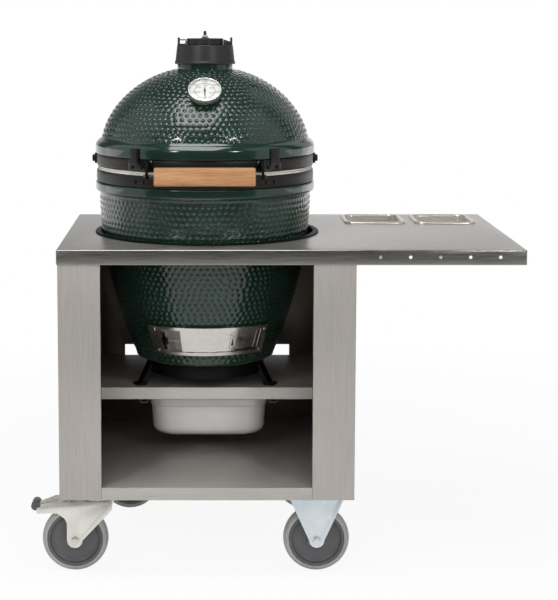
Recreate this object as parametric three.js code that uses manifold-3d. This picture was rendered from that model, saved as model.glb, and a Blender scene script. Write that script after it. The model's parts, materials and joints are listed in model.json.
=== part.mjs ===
// Kamado grill table: a ceramic kamado standing through the worktop of a stainless
// steel cabinet on four casters, with a shelf that overhangs to the right.
// Millimetres, +Z up, front towards -Y. The origin is on the floor, at the middle
// of the length and depth that the whole object covers.

import * as THREE from 'three';
import { mergeVertices } from 'three/addons/utils/BufferGeometryUtils.js';
import Module from 'manifold-3d';

// Worktop and cabinet

const worktopLength = 1100;
const worktopDepth = 700;
const worktopHeight = 800;
const apronHeight = 36;
const sheet = 2;
const lidGap = 0.5;
const seatGap = 0.3;
const cabinetWidth = 700;
const cabinetFloorClearance = 200;
const postWidth = 100;
const postReturn = 22;
const rearFlange = 30;
const shelfFace = 30;
const bottomShelfReturn = 12;
const middleShelfHeight = 416;
const middleShelfSetback = 250;
const middleShelfDepth = 400;
const slotWidth = 456;
const slotBottom = 404;
const slotTop = 436;
const baseRailWidth = 112;
const hookHoleCount = 5;
const hookHoleRadius = 4;
const hookHolePitch = 70;
const hookHoleEnd = 62;
const hookHoleDrop = 17;

// Cut-out ring

const holeClearance = 11.8;
const ringFlange = 11;
const ringThickness = 4;
const ringLip = 14;
const ringLipWall = 2.5;

// Spice pans in the shelf and the pan on rails

const spicePanWidth = 162;
const spicePanLength = 176;
const spicePanDepth = 100;
const spicePanGap = 23.5;
const spicePanEndMargin = 38;
const spicePanRearMargin = 38;
const spicePanRim = 12;
const panRimHeight = 5;
const panWall = 1.2;
const panTaper = 8;
const panMouthShare = 1.9;
const wastePanWidth = 325;
const wastePanLength = 265;
const wastePanDepth = 100;
const wastePanRim = 13;
const wastePanOffset = 4;
const wastePanSetback = 300;
const wastePanDrop = 44;
const wasteTaper = 11;
const railReach = 11.5;
const railLip = 21;
const railSetback = 282;
const railLength = 352;

// Casters

const wheelRadius = 80;
const wheelWidth = 40;
const treadDepth = 14;
const hubWidth = 44;
const hubRadius = 24;
const hubBore = 7;
const webThickness = 12;
const axleRadius = 6.5;
const axleNut = 9;
const axleNutThickness = 6;
const casterInset = 84;
const casterFrontInset = 97;
const casterTrail = 54;
const casterPlateLength = 106;
const casterPlateWidth = 86;
const casterPlateThickness = 4;
const swivelRadius = 37;
const swivelHeight = 14;
const forkSheet = 3;
const forkTipRadius = 19;
const forkGap = 4;
const forkTopDrop = 24;
const forkBridge = 5;
const hornReach = 146;
const hornRoot = 104;
const hornDrop = 29;
const hornTip = 13;
const hornFillet = 12;
const fixedForkTop = 129;
const pedalReach = 160;
const pedalWidth = 26;
const pedalThickness = 4;
const pedalRollerRadius = 11;
const pedalRollerLength = 44;
const pedalPivotReach = 62;
const pedalDrop = 21;
const pedalPinRadius = 4;

// Kamado, with heights taken from the foot of its base

const kamadoSideShift = -5;
const ceramicWall = 27;
const footRadius = 154;
const footRound = 14;
const footRoundShares = [0.7, 0.3];
const baseTopRadius = 266.5;
const baseNeckHeight = 427;
const baseDraw = 97;
const baseDrawPower = 1.95;
const beadRadius = 276;
const beadHeight = 26;
const bandSeatRadius = 270;
const bandSeatHeight = 30.5;
const bandHeight = 27.5;
const bandThickness = 3;
const bandClearance = 0.35;
const gasketThickness = 4.7;
const gasketWidth = 26;
const domeShoulderRadius = 261.7;
const domeRise = 190.5;
const domePower = 1.69;
const domeRoundPower = 2.16;
const neckRadius = 69.5;
const neckHeight = 17;
const chimneyRadius = 50;
const eggSegments = 36;

// Fire box, ring, grate and cooking grid

const fireRingClearance = 3.85;
const fireBoxFootRadius = 120;
const fireBoxHeightShare = 0.7026;
const fireBoxWall = 22;
const fireBoxFloor = 22;
const fireGateHeight = 46;
const fireRingHeightShare = 0.281;
const fireRingWall = 24;
const grateRadius = 97;
const grateClearance = 2;
const grateLedge = 10;
const grateThickness = 8;
const grateSlots = 5;
const grateSlotWidth = 12;
const gridBarRadius = 3.5;
const gridBars = 13;
const gridRimWidth = 12;
const gridLedge = 6;

// Nest

const nestHeight = 62;
const nestRingRadius = 150;
const nestRingBar = 6;
const nestRingHeight = 30;
const nestLegWidth = 30;
const nestLegBar = 6;
const nestFootRadius = 178;
const nestFootLength = 26;
const nestLegAngle = 68;

// Bands, handle and hinge

const bracketThickness = 4;
const bracketStartAngle = 27;
const bracketEndAngle = 41.5;
const tabStartAngle = 34.4;
const tabEndAngle = 39.8;
const tabDrop = 15;
const tabRise = 42;
const handleLength = 240;
const handleHeight = 43;
const handleDepth = 28;
const handleReach = 300;
const handleRodRadius = 5;
const handleBore = 5.5;
const handleArm = 6;
const handleArmHeight = 24;
const handleArmGap = 14;
const handleDrop = 5;
const lugPlateRadius = 13.5;
const lugPlate = 5;
const lugNutRadius = 9;
const lugNut = 7;
const hingePinReach = 318;
const hingePinRadius = 6;
const hingePinHole = 6.8;
const hingePinLength = 146;
const hingeEar = 6;
const hingeEarRadius = 13;
const lowerEarPlace = 60;
const upperEarPlace = 51;
const hingeStrapAngle = 15;
const springTurns = 9;
const springFit = 0.6;
const springWireRadius = 2;
const springLength = 84;

// Cap

const capSkirtRadius = 76;
const capTopRadius = 70;
const capSkirtDrop = 12;
const capHeight = 48;
const capWall = 5.5;
const capPlate = 7;
const capBore = 38;
const capNeckGap = 0.8;
const earWidth = 24;
const earPost = 5.5;
const earHeight = 19;
const earTip = 2;
const earFoot = 2.5;
const earBarFoot = 11;
const earBar = 2.5;
const earSlopeFoot = 8;
const earGap = 1.8;
const discRadius = 45.5;
const discStep = 15.5;
const discHeight = 18;
const discHubRadius = 11;
const discPort = 7;
const discPorts = 4;
const discPortRing = 19;
const spindleRadius = 4;
const spindleHeight = 16;
const spindleNutRadius = 8;
const spindleNut = 5;

// Thermometer

const gaugeRadius = 40;
const gaugeDepth = 15;
const gaugeWall = 2.2;
const gaugeBack = 7.5;
const gaugeHeightShare = 0.647;
const gaugeStandOff = 9;
const gaugeCollarRadius = 15;
const needleAngle = 1.5;
const dialThickness = 1.2;
const needleLength = 27;
const needleTail = 10;
const needleWidth = 3;
const needleThickness = 0.8;
const needleHub = 4;
const needleFloat = 1;
const stemRadius = 4;
const stemHole = 6;
const stemLength = 70;

// Draft door

const draftStartAngle = -39.4;
const draftEndAngle = 45.2;
const draftBottom = 38;
const draftTop = 111;
const draftLedge = 9;
const draftEndWallAngle = 3;
const draftLeftPlateAngle = 8.9;
const draftRightPlateAngle = 6;
const draftBack = 1.5;
const draftRunGap = 1;
const draftPanel = 1.3;
const draftLip = 1.5;
const draftWindowStartAngle = -29.5;
const draftWindowEndAngle = 8;
const draftWindowInset = 8;
const draftDoorStartAngle = -16.5;
const draftScreenStartAngle = -30.5;
const draftPanelAngle = 38.5;
const draftKnobAngle = 3.4;
const draftKnobInsetAngle = 1.2;
const draftKnobReach = 11;
const draftKnobHeight = 17;
const screenSlots = 4;

// Places that follow from the sizes

const cutOver = 2;
const weldTolerance = 1e-4;
const sectorStep = 30;
const halfTurn = 180;
const degree = Math.PI / halfTurn;
const worktopBottom = worktopHeight - sheet;
const worktopLeft = -(cabinetWidth / 2 + sheet + lidGap);
const worktopRight = worktopLeft + worktopLength;
const worktopFront = -worktopDepth / 2;
const cabinetSide = cabinetWidth / 2;
const cabinetFront = worktopFront + sheet + lidGap;
const cabinetRear = -cabinetFront;
const eggFootHeight = middleShelfHeight + nestHeight;
const wastePanRimHeight = middleShelfHeight - wastePanDrop;
const forkTopHeight = cabinetFloorClearance - forkTopDrop;
const hornBottom = forkTopHeight - hornDrop;
const holeRadius = baseRadius(worktopHeight - eggFootHeight) + holeClearance;
const ringOuterRadius = holeRadius + ringFlange;
const pedalTip = -(cabinetSide - casterInset) - pedalReach;
const frameShift = -(worktopRight + pedalTip) / 2;

// Solids

const wasm = await Module();
wasm.setup();

function closedMesh(geometry) {
  const plain = new THREE.BufferGeometry();
  plain.setAttribute('position', geometry.getAttribute('position').clone());
  if (geometry.index) plain.setIndex(geometry.index.clone());
  const merged = mergeVertices(plain, weldTolerance);
  const corners = merged.index.array;
  const kept = [];
  for (let i = 0; i < corners.length; i += 3) {
    const [a, b, c] = [corners[i], corners[i + 1], corners[i + 2]];
    if (a !== b && b !== c && c !== a) kept.push(a, b, c);
  }
  merged.setIndex(signedVolume(merged, kept) < 0 ? kept.reverse() : kept);
  return merged;
}

function signedVolume(geometry, corners) {
  const place = geometry.getAttribute('position');
  const points = corners.map((corner) => new THREE.Vector3().fromBufferAttribute(place, corner));
  let volume = 0;
  for (let i = 0; i < points.length; i += 3) {
    volume += points[i].dot(points[i + 1].clone().cross(points[i + 2]));
  }
  return volume;
}

function solidOf(geometry) {
  const merged = closedMesh(geometry);
  const vertProperties = new Float32Array(merged.getAttribute('position').array);
  const triVerts = new Uint32Array(merged.index.array);
  return new wasm.Manifold(new wasm.Mesh({ numProp: 3, vertProperties, triVerts }));
}

function geometryOf(solid) {
  const mesh = solid.getMesh();
  const geometry = new THREE.BufferGeometry();
  geometry.setAttribute('position', new THREE.BufferAttribute(mesh.vertProperties, mesh.numProp));
  geometry.setIndex(new THREE.BufferAttribute(mesh.triVerts, 1));
  return geometry;
}

function join(...pieces) {
  return geometryOf(pieces.map(solidOf).reduce((whole, piece) => whole.add(piece)));
}

function cut(body, ...tools) {
  return geometryOf(tools.map(solidOf).reduce((rest, tool) => rest.subtract(tool), solidOf(body)));
}

function common(body, tool) {
  return geometryOf(solidOf(body).intersect(solidOf(tool)));
}

function block(left, right, front, rear, bottom, top) {
  const geometry = new THREE.BoxGeometry(right - left, rear - front, top - bottom);
  return geometry.translate((left + right) / 2, (front + rear) / 2, (bottom + top) / 2);
}

// Round bar between two points. Its flats keep one phase, so that concentric bars nest.
function bar(radius, from, to, sides = 12) {
  const length = from.distanceTo(to);
  const geometry = new THREE.CylinderGeometry(radius, radius, length, sides);
  const turn = new THREE.Quaternion();
  turn.setFromUnitVectors(new THREE.Vector3(0, 1, 0), to.clone().sub(from).normalize());
  geometry.applyQuaternion(turn);
  const middle = from.clone().add(to).multiplyScalar(1 / 2);
  return geometry.translate(middle.x, middle.y, middle.z);
}

function crossBar(radius, from, to, y, z, sides = 12) {
  return bar(radius, new THREE.Vector3(from, y, z), new THREE.Vector3(to, y, z), sides);
}

function depthBar(radius, x, from, to, z, sides = 12) {
  return bar(radius, new THREE.Vector3(x, from, z), new THREE.Vector3(x, to, z), sides);
}

function upright(radius, x, y, from, to, sides = 12) {
  return bar(radius, new THREE.Vector3(x, y, from), new THREE.Vector3(x, y, to), sides);
}

// Body of revolution about Z from pairs of radius and height.
function revolve(pairs, sides = eggSegments) {
  const profile = pairs.map(([radius, height]) => new THREE.Vector2(radius, height));
  return new THREE.LatheGeometry(profile, sides).rotateX(Math.PI / 2);
}

function ring(inner, outer, bottom, top, sides = eggSegments) {
  const profile = [[inner, bottom], [outer, bottom], [outer, top], [inner, top], [inner, bottom]];
  return revolve(profile, sides);
}

// Flat plate from an outline, lying in XY and standing thickness tall.
function plate(outline, bottom, top) {
  const shape = new THREE.Shape(outline.map(([x, y]) => new THREE.Vector2(x, y)));
  const geometry = new THREE.ExtrudeGeometry(shape, { depth: top - bottom, bevelEnabled: false });
  return geometry.translate(0, 0, bottom);
}

// Plate from an outline in Y and Z, between two places along X.
function sidePlate(outline, left, right) {
  const turn = new THREE.Matrix4().set(0, 0, 1, 0, 1, 0, 0, 0, 0, 1, 0, 0, 0, 0, 0, 1);
  return plate(outline, left, right).applyMatrix4(turn);
}

// Plate from an outline in X and Z, between two places along Y.
function facePlate(outline, front, rear) {
  const turn = new THREE.Matrix4().set(1, 0, 0, 0, 0, 0, 1, 0, 0, 1, 0, 0, 0, 0, 0, 1);
  return plate(outline, front, rear).applyMatrix4(turn);
}

// Angle is counted from the front, growing towards the right.
function aroundFront(angle, radius) {
  return [radius * Math.sin(angle * degree), -radius * Math.cos(angle * degree)];
}

// The stretch of a body of revolution between two angles from the front.
function sector(body, start, end, radius, bottom, top) {
  const steps = Math.max(2, Math.ceil((end - start) / sectorStep));
  const outline = [[0, 0]];
  for (let i = 0; i <= steps; i += 1) {
    outline.push(aroundFront(start + ((end - start) * i) / steps, radius * 2));
  }
  return common(body, plate(outline, bottom - cutOver, top + cutOver));
}

// Rounded rectangle, as a loop of points at one height.
function roundedLoop(width, length, corner, height) {
  const cornerSteps = 3;
  const loop = [];
  for (let quarter = 0; quarter < 4; quarter += 1) {
    const sideX = quarter === 0 || quarter === 3 ? 1 : -1;
    const sideY = quarter < 2 ? 1 : -1;
    for (let i = 0; i <= cornerSteps; i += 1) {
      const angle = (quarter + i / cornerSteps) * Math.PI / 2;
      const x = sideX * (width / 2 - corner) + corner * Math.cos(angle);
      const y = sideY * (length / 2 - corner) + corner * Math.sin(angle);
      loop.push([x, y, height]);
    }
  }
  return loop;
}

// Closed skin through loops of equal length, capped at its first and last loop.
function loft(loops) {
  const count = loops[0].length;
  const places = loops.flat(2);
  const corners = [];
  for (let row = 0; row + 1 < loops.length; row += 1) {
    for (let i = 0; i < count; i += 1) {
      const a = row * count + i;
      const b = row * count + ((i + 1) % count);
      corners.push(a, b, a + count, b, b + count, a + count);
    }
  }
  const last = (loops.length - 1) * count;
  for (let i = 1; i + 1 < count; i += 1) {
    corners.push(0, i + 1, i);
    corners.push(last, last + i, last + i + 1);
  }
  const geometry = new THREE.BufferGeometry();
  geometry.setAttribute('position', new THREE.Float32BufferAttribute(places, 3));
  geometry.setIndex(corners);
  return geometry;
}

// Gastronorm pan: a rolled rim, tapering walls and round corners. Zero is the rim's underside.
function pan(width, length, depth, rim, taper) {
  const rimCorner = rim * 2;
  const mouth = rim * panMouthShare;
  const floorWidth = width - 2 * (rim + taper);
  const floorLength = length - 2 * (rim + taper);
  const floorCorner = mouth + taper;
  const bend = taper;
  const skin = panWall * 2;
  return loft([
    roundedLoop(floorWidth - 2 * bend, floorLength - 2 * bend, floorCorner - bend, panWall - depth),
    roundedLoop(floorWidth, floorLength, floorCorner, bend - depth),
    roundedLoop(width - 2 * rim, length - 2 * rim, mouth, 0),
    roundedLoop(width - 2 * rim + bend / 2, length - 2 * rim + bend / 2, mouth, panRimHeight),
    roundedLoop(width - panRimHeight, length - panRimHeight, rimCorner, panRimHeight),
    roundedLoop(width, length, rimCorner, panRimHeight / 2),
    roundedLoop(width, length, rimCorner, 0),
    roundedLoop(width - 2 * rim + skin, length - 2 * rim + skin, mouth, 0),
    roundedLoop(floorWidth + skin, floorLength + skin, floorCorner, bend - depth),
    roundedLoop(floorWidth - 2 * bend, floorLength - 2 * bend, floorCorner - bend, -depth),
  ]);
}

const group = new THREE.Group();

const finishes = {
  brushedSteel: { color: '#a8a39c', roughness: 0.38, metalness: 1 },
  innerSteel: { color: '#6f6a64', roughness: 0.45, metalness: 1 },
  polishedSteel: { color: '#cdc8c0', roughness: 0.2, metalness: 1 },
  zincSteel: { color: '#c8d2d6', roughness: 0.35, metalness: 1 },
  greenGlaze: { color: '#183a2d', roughness: 0.18, metalness: 0 },
  rawCeramic: { color: '#cfc3ae', roughness: 0.85, metalness: 0 },
  charcoalSteel: { color: '#322e2b', roughness: 0.45, metalness: 0.4 },
  blackGloss: { color: '#0c0c0d', roughness: 0.2, metalness: 0 },
  castIron: { color: '#3c3a38', roughness: 0.7, metalness: 0.5 },
  felt: { color: '#96918c', roughness: 0.95, metalness: 0 },
  oak: { color: '#dea573', roughness: 0.55, metalness: 0 },
  dialWhite: { color: '#f2f1ec', roughness: 0.4, metalness: 0 },
  tread: { color: '#878787', roughness: 0.7, metalness: 0 },
  hubPlastic: { color: '#4c4c4e', roughness: 0.5, metalness: 0 },
};

function piece(parent, name, geometry, finish) {
  const mesh = new THREE.Mesh(closedMesh(geometry), new THREE.MeshStandardMaterial(finishes[finish]));
  mesh.name = name;
  parent.add(mesh);
  return mesh;
}

function placed(parent, x, y, z, turn = 0) {
  const place = new THREE.Group();
  place.position.set(x, y, z);
  place.rotation.z = turn;
  parent.add(place);
  return place;
}

const table = placed(group, frameShift, 0, 0);

// Worktop: one folded sheet with a round cut-out, two pan cut-outs and a skirt all round

const panCentres = [0, 1].map((count) => (
  worktopRight - spicePanEndMargin - spicePanWidth / 2 - count * (spicePanWidth + spicePanGap)
));
const spicePanY = -worktopFront - spicePanRearMargin - spicePanLength / 2;

function makeWorktop() {
  const bottom = worktopHeight - apronHeight;
  const outer = block(worktopLeft, worktopRight, worktopFront, -worktopFront, bottom, worktopHeight);
  const inner = block(
    worktopLeft + sheet, worktopRight - sheet,
    worktopFront + sheet, -worktopFront - sheet,
    bottom - cutOver, worktopBottom,
  );
  const round = upright(holeRadius, 0, 0, bottom, worktopHeight + cutOver, eggSegments);
  const panHoles = panCentres.map((x) => {
    const halfWidth = spicePanWidth / 2 - spicePanRim / 2;
    const halfLength = spicePanLength / 2 - spicePanRim / 2;
    const top = worktopHeight + cutOver;
    return block(x - halfWidth, x + halfWidth, spicePanY - halfLength, spicePanY + halfLength, bottom, top);
  });
  const hookHoles = [];
  for (let i = 0; i < hookHoleCount; i += 1) {
    const x = worktopRight - hookHoleEnd - i * hookHolePitch;
    const inside = worktopFront + sheet + cutOver;
    hookHoles.push(depthBar(hookHoleRadius, x, worktopFront - cutOver, inside, worktopHeight - hookHoleDrop));
  }
  return cut(outer, inner, round, ...panHoles, ...hookHoles);
}
piece(table, 'worktop', makeWorktop(), 'brushedSteel');

// Trim ring: black flange over the edge of the cut-out, with a lip that centres it

piece(table, 'hole_trim_ring', revolve([
  [holeRadius - seatGap - ringLipWall, worktopHeight - ringLip],
  [holeRadius - seatGap, worktopHeight - ringLip],
  [holeRadius - seatGap, worktopHeight + seatGap],
  [ringOuterRadius, worktopHeight + seatGap],
  [ringOuterRadius, worktopHeight + seatGap + ringThickness / 2],
  [ringOuterRadius - ringThickness / 2, worktopHeight + seatGap + ringThickness],
  [holeRadius - seatGap - ringLipWall, worktopHeight + seatGap + ringThickness],
  [holeRadius - seatGap - ringLipWall, worktopHeight - ringLip],
]), 'blackGloss');

// Side panels: sheet folded to a wide front flange with a return, and a narrow rear one

function makeSidePanel(side) {
  const outside = side * cabinetSide;
  const wallIn = side * (cabinetSide - sheet);
  const postIn = side * (cabinetSide - postWidth);
  const lipIn = side * (cabinetSide - postWidth + sheet);
  const rearIn = side * (cabinetSide - rearFlange);
  const bottom = cabinetFloorClearance;
  const top = worktopBottom - seatGap;
  const frontIn = cabinetFront + sheet;
  const rearOut = cabinetRear - sheet - seatGap;
  const outline = [
    [outside, cabinetFront], [outside, rearOut], [rearIn, rearOut], [rearIn, rearOut - sheet],
    [wallIn, rearOut - sheet], [wallIn, frontIn], [lipIn, frontIn], [lipIn, cabinetFront + postReturn],
    [postIn, cabinetFront + postReturn], [postIn, cabinetFront],
  ];
  return plate(outline, bottom, top);
}
piece(table, 'side_panel_left', makeSidePanel(-1), 'brushedSteel');
piece(table, 'side_panel_right', makeSidePanel(1), 'brushedSteel');

// Back panel: flat sheet with one long air slot behind the kamado's foot

piece(table, 'back_panel', cut(
  block(
    -cabinetSide, cabinetSide, cabinetRear - sheet, cabinetRear,
    cabinetFloorClearance, worktopBottom - seatGap,
  ),
  block(
    -slotWidth / 2, slotWidth / 2, cabinetRear - sheet - cutOver, cabinetRear + cutOver,
    slotBottom, slotTop,
  ),
), 'innerSteel');

// Shelves: trays folded down at every edge, the lower one flush between the posts

const shelfSide = cabinetSide - sheet - seatGap;

function makeMiddleShelf() {
  const front = worktopFront + middleShelfSetback;
  const rear = front + middleShelfDepth;
  const top = middleShelfHeight;
  return cut(
    block(-shelfSide, shelfSide, front, rear, top - shelfFace, top),
    block(
      -shelfSide + sheet, shelfSide - sheet, front + sheet, rear - sheet,
      top - shelfFace - cutOver, top - sheet,
    ),
  );
}
piece(table, 'middle_shelf', makeMiddleShelf(), 'innerSteel');

const casterX = cabinetSide - casterInset;
const casterY = -worktopFront - casterFrontInset;

// Channel welded under the tray, which carries two casters
function makeBaseRail(side) {
  const centre = side * casterX;
  const half = baseRailWidth / 2;
  const front = cabinetFront + postReturn + seatGap + sheet / 2;
  const rear = cabinetRear - 3 * sheet;
  const top = cabinetFloorClearance + shelfFace - sheet / 2;
  return cut(
    block(centre - half, centre + half, front, rear, cabinetFloorClearance, top),
    block(
      centre - half + sheet, centre + half - sheet, front - cutOver, rear + cutOver,
      cabinetFloorClearance + sheet, top + cutOver,
    ),
  );
}

function makeBottomShelf() {
  const top = cabinetFloorClearance + shelfFace;
  const tongue = cabinetSide - postWidth - seatGap;
  const behindPost = cabinetFront + postReturn + seatGap;
  const rear = cabinetRear - 2 * sheet - 2 * seatGap;
  const lowest = cabinetFloorClearance;
  const tray = join(
    block(-shelfSide, shelfSide, behindPost, rear, lowest, top),
    block(-tongue, tongue, cabinetFront, behindPost + sheet, lowest, top),
  );
  const hollow = join(
    block(
      -shelfSide + sheet, shelfSide - sheet, behindPost + sheet, rear - sheet,
      lowest - cutOver, top - sheet,
    ),
    block(
      -tongue + sheet, tongue - sheet, cabinetFront + sheet, rear - sheet,
      lowest - cutOver, top - sheet,
    ),
  );
  const lip = block(
    -tongue + sheet, tongue - sheet, cabinetFront + sheet / 2, cabinetFront + sheet + bottomShelfReturn,
    lowest, lowest + sheet,
  );
  return join(cut(tray, hollow), lip, makeBaseRail(-1), makeBaseRail(1));
}
piece(table, 'bottom_shelf', makeBottomShelf(), 'innerSteel');

// Spice pans: they drop into the shelf and hang by their rims

panCentres.forEach((x, count) => {
  const name = count === 0 ? 'spice_pan_right' : 'spice_pan_left';
  const place = placed(table, x, spicePanY, worktopHeight + seatGap);
  const body = pan(spicePanWidth, spicePanLength, spicePanDepth, spicePanRim, panTaper);
  piece(place, name, body, 'polishedSteel');
});

// Waste pan: it slides on two angle rails under the middle shelf

const wastePanY = worktopFront + wastePanSetback + wastePanLength / 2;
const wastePlace = placed(table, wastePanOffset, wastePanY, wastePanRimHeight);
const wastePan = pan(wastePanWidth, wastePanLength, wastePanDepth, wastePanRim, wasteTaper);
piece(wastePlace, 'waste_pan', wastePan, 'polishedSteel');

function makePanRail(side) {
  const web = wastePanWidth / 2 + railReach;
  const top = middleShelfHeight - sheet - seatGap;
  const lipTop = wastePanRimHeight - seatGap;
  const front = worktopFront + railSetback;
  const outline = [
    [side * web, lipTop - sheet], [side * web, top], [side * (web - railLip), top],
    [side * (web - railLip), top - sheet], [side * (web - sheet), top - sheet],
    [side * (web - sheet), lipTop], [side * (web - railLip), lipTop],
    [side * (web - railLip), lipTop - sheet],
  ];
  return facePlate(outline, front, front + railLength).translate(wastePanOffset, 0, 0);
}
piece(table, 'pan_rail_left', makePanRail(-1), 'innerSteel');
piece(table, 'pan_rail_right', makePanRail(1), 'innerSteel');

// Casters: the left pair swivels, the right pair is fixed

// A wheel is faceted and stands on a flat, so its corners lie further out than its radius.
const wheelSides = 24;
const wheelTurn = Math.PI / wheelSides;
const treadRadius = wheelRadius / Math.cos(wheelTurn);
const treadInner = treadRadius - treadDepth;
const treadShape = [
  [treadInner, -wheelWidth / 2], [treadRadius - treadDepth / 3, -wheelWidth / 2],
  [treadRadius, -wheelWidth / 4], [treadRadius, wheelWidth / 4],
  [treadRadius - treadDepth / 3, wheelWidth / 2], [treadInner, wheelWidth / 2],
  [treadInner, -wheelWidth / 2],
];
const hubRim = treadInner - seatGap;
const rimWall = webThickness / 2;
const hubShape = [
  [hubBore, -hubWidth / 2], [hubRadius, -hubWidth / 2], [hubRadius, -webThickness / 2],
  [hubRim - rimWall, -webThickness / 2], [hubRim - rimWall, -wheelWidth / 2], [hubRim, -wheelWidth / 2],
  [hubRim, wheelWidth / 2], [hubRim - rimWall, wheelWidth / 2], [hubRim - rimWall, webThickness / 2],
  [hubRadius, webThickness / 2], [hubRadius, hubWidth / 2], [hubBore, hubWidth / 2],
  [hubBore, -hubWidth / 2],
];
const forkOut = hubWidth / 2 + forkGap + forkSheet;
const forkIn = hubWidth / 2 + forkGap;
const bridgeBottom = forkTopHeight - forkBridge;

function addWheel(parent, corner, x) {
  const place = placed(parent, x, 0, wheelRadius);
  const tread = revolve(treadShape, wheelSides).rotateZ(wheelTurn).rotateX(Math.PI / 2);
  const hub = revolve(hubShape, wheelSides).rotateZ(wheelTurn).rotateX(Math.PI / 2);
  piece(place, `wheel_tread_${corner}`, tread, 'tread');
  piece(place, `wheel_hub_${corner}`, hub, 'hubPlastic');
}

function makeAxle(x, y) {
  const seat = forkOut + seatGap;
  const end = seat + axleNutThickness;
  const shank = depthBar(axleRadius, x, y - seat, y + seat, wheelRadius);
  const near = depthBar(axleNut, x, y - end, y - seat, wheelRadius, 6);
  const far = depthBar(axleNut, x, y + seat, y + end, wheelRadius, 6);
  return join(shank, near, far);
}

// One cheek of a fork: a pointed plate round the axle, widening to its top.
function cheekOutline(axleX, topLeft, topRight, top) {
  const outline = [];
  const steps = 6;
  for (let i = 0; i <= steps; i += 1) {
    const angle = Math.PI * (1 + i / steps);
    outline.push([axleX + forkTipRadius * Math.cos(angle), wheelRadius + forkTipRadius * Math.sin(angle)]);
  }
  const shoulder = top - forkTipRadius;
  outline.push([topRight, shoulder], [topRight, top], [topLeft, top], [topLeft, shoulder]);
  return outline;
}

function makeFork(axleX, topLeft, topRight, top) {
  const outline = cheekOutline(axleX, topLeft, topRight, top);
  const hole = depthBar(axleRadius + seatGap, axleX, -forkOut - cutOver, forkOut + cutOver, wheelRadius);
  return cut(join(
    facePlate(outline, -forkOut, -forkIn),
    facePlate(outline, forkIn, forkOut),
    block(topLeft, topRight, -forkOut, forkOut, bridgeBottom, forkTopHeight),
  ), hole);
}

// Horns of a swivel fork: the cheeks reach out over the wheel, below the pedal.
function forkHorns(trailSide) {
  const root = casterTrail + forkTipRadius;
  const outline = [
    [root - cutOver, hornBottom - 2 * hornFillet], [root, hornBottom - 2 * hornFillet],
    [root + hornFillet / 2, hornBottom - hornFillet], [root + 2 * hornFillet, hornBottom],
    [hornReach, hornBottom], [hornReach, hornBottom + hornTip],
    [hornRoot, forkTopHeight], [root - cutOver, forkTopHeight],
  ].map(([reach, z]) => [trailSide * reach, z]);
  return join(facePlate(outline, -forkOut, -forkIn), facePlate(outline, forkIn, forkOut));
}

function casterPlate() {
  const top = cabinetFloorClearance - seatGap;
  const halfLength = casterPlateLength / 2;
  const halfWidth = casterPlateWidth / 2;
  return block(-halfLength, halfLength, -halfWidth, halfWidth, top - casterPlateThickness, top);
}

const plateBottom = cabinetFloorClearance - seatGap - casterPlateThickness;
const raceBottom = plateBottom - swivelHeight;
const pedalPivot = forkTopHeight + 2 * pedalPinRadius + seatGap;

// Brake pedal: a tread lever on a pin beside the swivel head, sloping down to its roller.
function makePedal(trailSide) {
  const run = pedalReach - pedalRollerRadius - pedalPivotReach;
  const reach = Math.hypot(run, pedalDrop);
  const half = pedalWidth / 2;
  const skin = pedalThickness / 2;
  const window = block(
    pedalWidth - reach, -pedalWidth, -half / 2, half / 2, -skin - cutOver, skin + cutOver,
  );
  const sleeve = depthBar(2 * pedalPinRadius, 0, -half, half, 0);
  const pinHole = depthBar(pedalPinRadius + seatGap, 0, -forkOut, forkOut, 0);
  const arm = cut(join(block(-reach, 0, -half, half, -skin, skin), sleeve), window, pinHole);
  arm.rotateY(-Math.atan2(pedalDrop, run));
  if (trailSide > 0) arm.rotateZ(Math.PI);
  arm.translate(trailSide * pedalPivotReach, 0, pedalPivot);
  const tip = trailSide * (pedalPivotReach + run);
  const halfRoller = pedalRollerLength / 2;
  return join(arm, depthBar(pedalRollerRadius, tip, -halfRoller, halfRoller, pedalPivot - pedalDrop));
}

// The pedal's pin and its two lugs on top of the fork.
function pedalHinge(trailSide) {
  const pivot = trailSide * pedalPivotReach;
  const inner = pedalWidth / 2 + seatGap;
  const outer = inner + forkSheet;
  const lugs = [-1, 1].map((side) => {
    const [front, rear] = [side * inner, side * outer].sort((a, b) => a - b);
    return block(
      pivot - 2 * pedalPinRadius, pivot + 2 * pedalPinRadius, front, rear,
      bridgeBottom, pedalPivot + pedalPinRadius,
    );
  });
  return join(...lugs, depthBar(pedalPinRadius, pivot, -outer, outer, pedalPivot));
}

function addSwivelCaster(corner, y, trailSide) {
  const fixed = placed(table, -casterX, y, 0);
  const race = upright(swivelRadius, 0, 0, raceBottom, plateBottom + seatGap, 20);
  piece(fixed, `caster_plate_${corner}`, join(casterPlate(), race), 'zincSteel');
  const axleX = trailSide * casterTrail;
  const near = -trailSide * swivelRadius;
  const far = trailSide * (casterTrail + forkTipRadius);
  const left = Math.min(near, far);
  const right = Math.max(near, far);
  piece(fixed, `caster_fork_${corner}`, join(
    makeFork(axleX, left, right, forkTopHeight),
    forkHorns(trailSide),
    upright(swivelRadius - forkTipRadius / 2, 0, 0, bridgeBottom, raceBottom - seatGap, 20),
    pedalHinge(trailSide),
  ), 'zincSteel');
  piece(fixed, `caster_axle_${corner}`, makeAxle(axleX, 0), 'zincSteel');
  piece(fixed, `brake_pedal_${corner}`, makePedal(trailSide), 'hubPlastic');
  addWheel(fixed, corner, axleX);
}

addSwivelCaster('front_left', -casterY, -1);
addSwivelCaster('rear_left', casterY, 1);

function makeFixedFork() {
  const half = fixedForkTop / 2;
  const top = cabinetFloorClearance - seatGap;
  const outline = cheekOutline(0, -half, half, top);
  const hole = depthBar(axleRadius + seatGap, 0, -forkOut - cutOver, forkOut + cutOver, wheelRadius);
  return cut(join(
    facePlate(outline, -forkOut, -forkIn),
    facePlate(outline, forkIn, forkOut),
    casterPlate(),
  ), hole);
}

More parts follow.
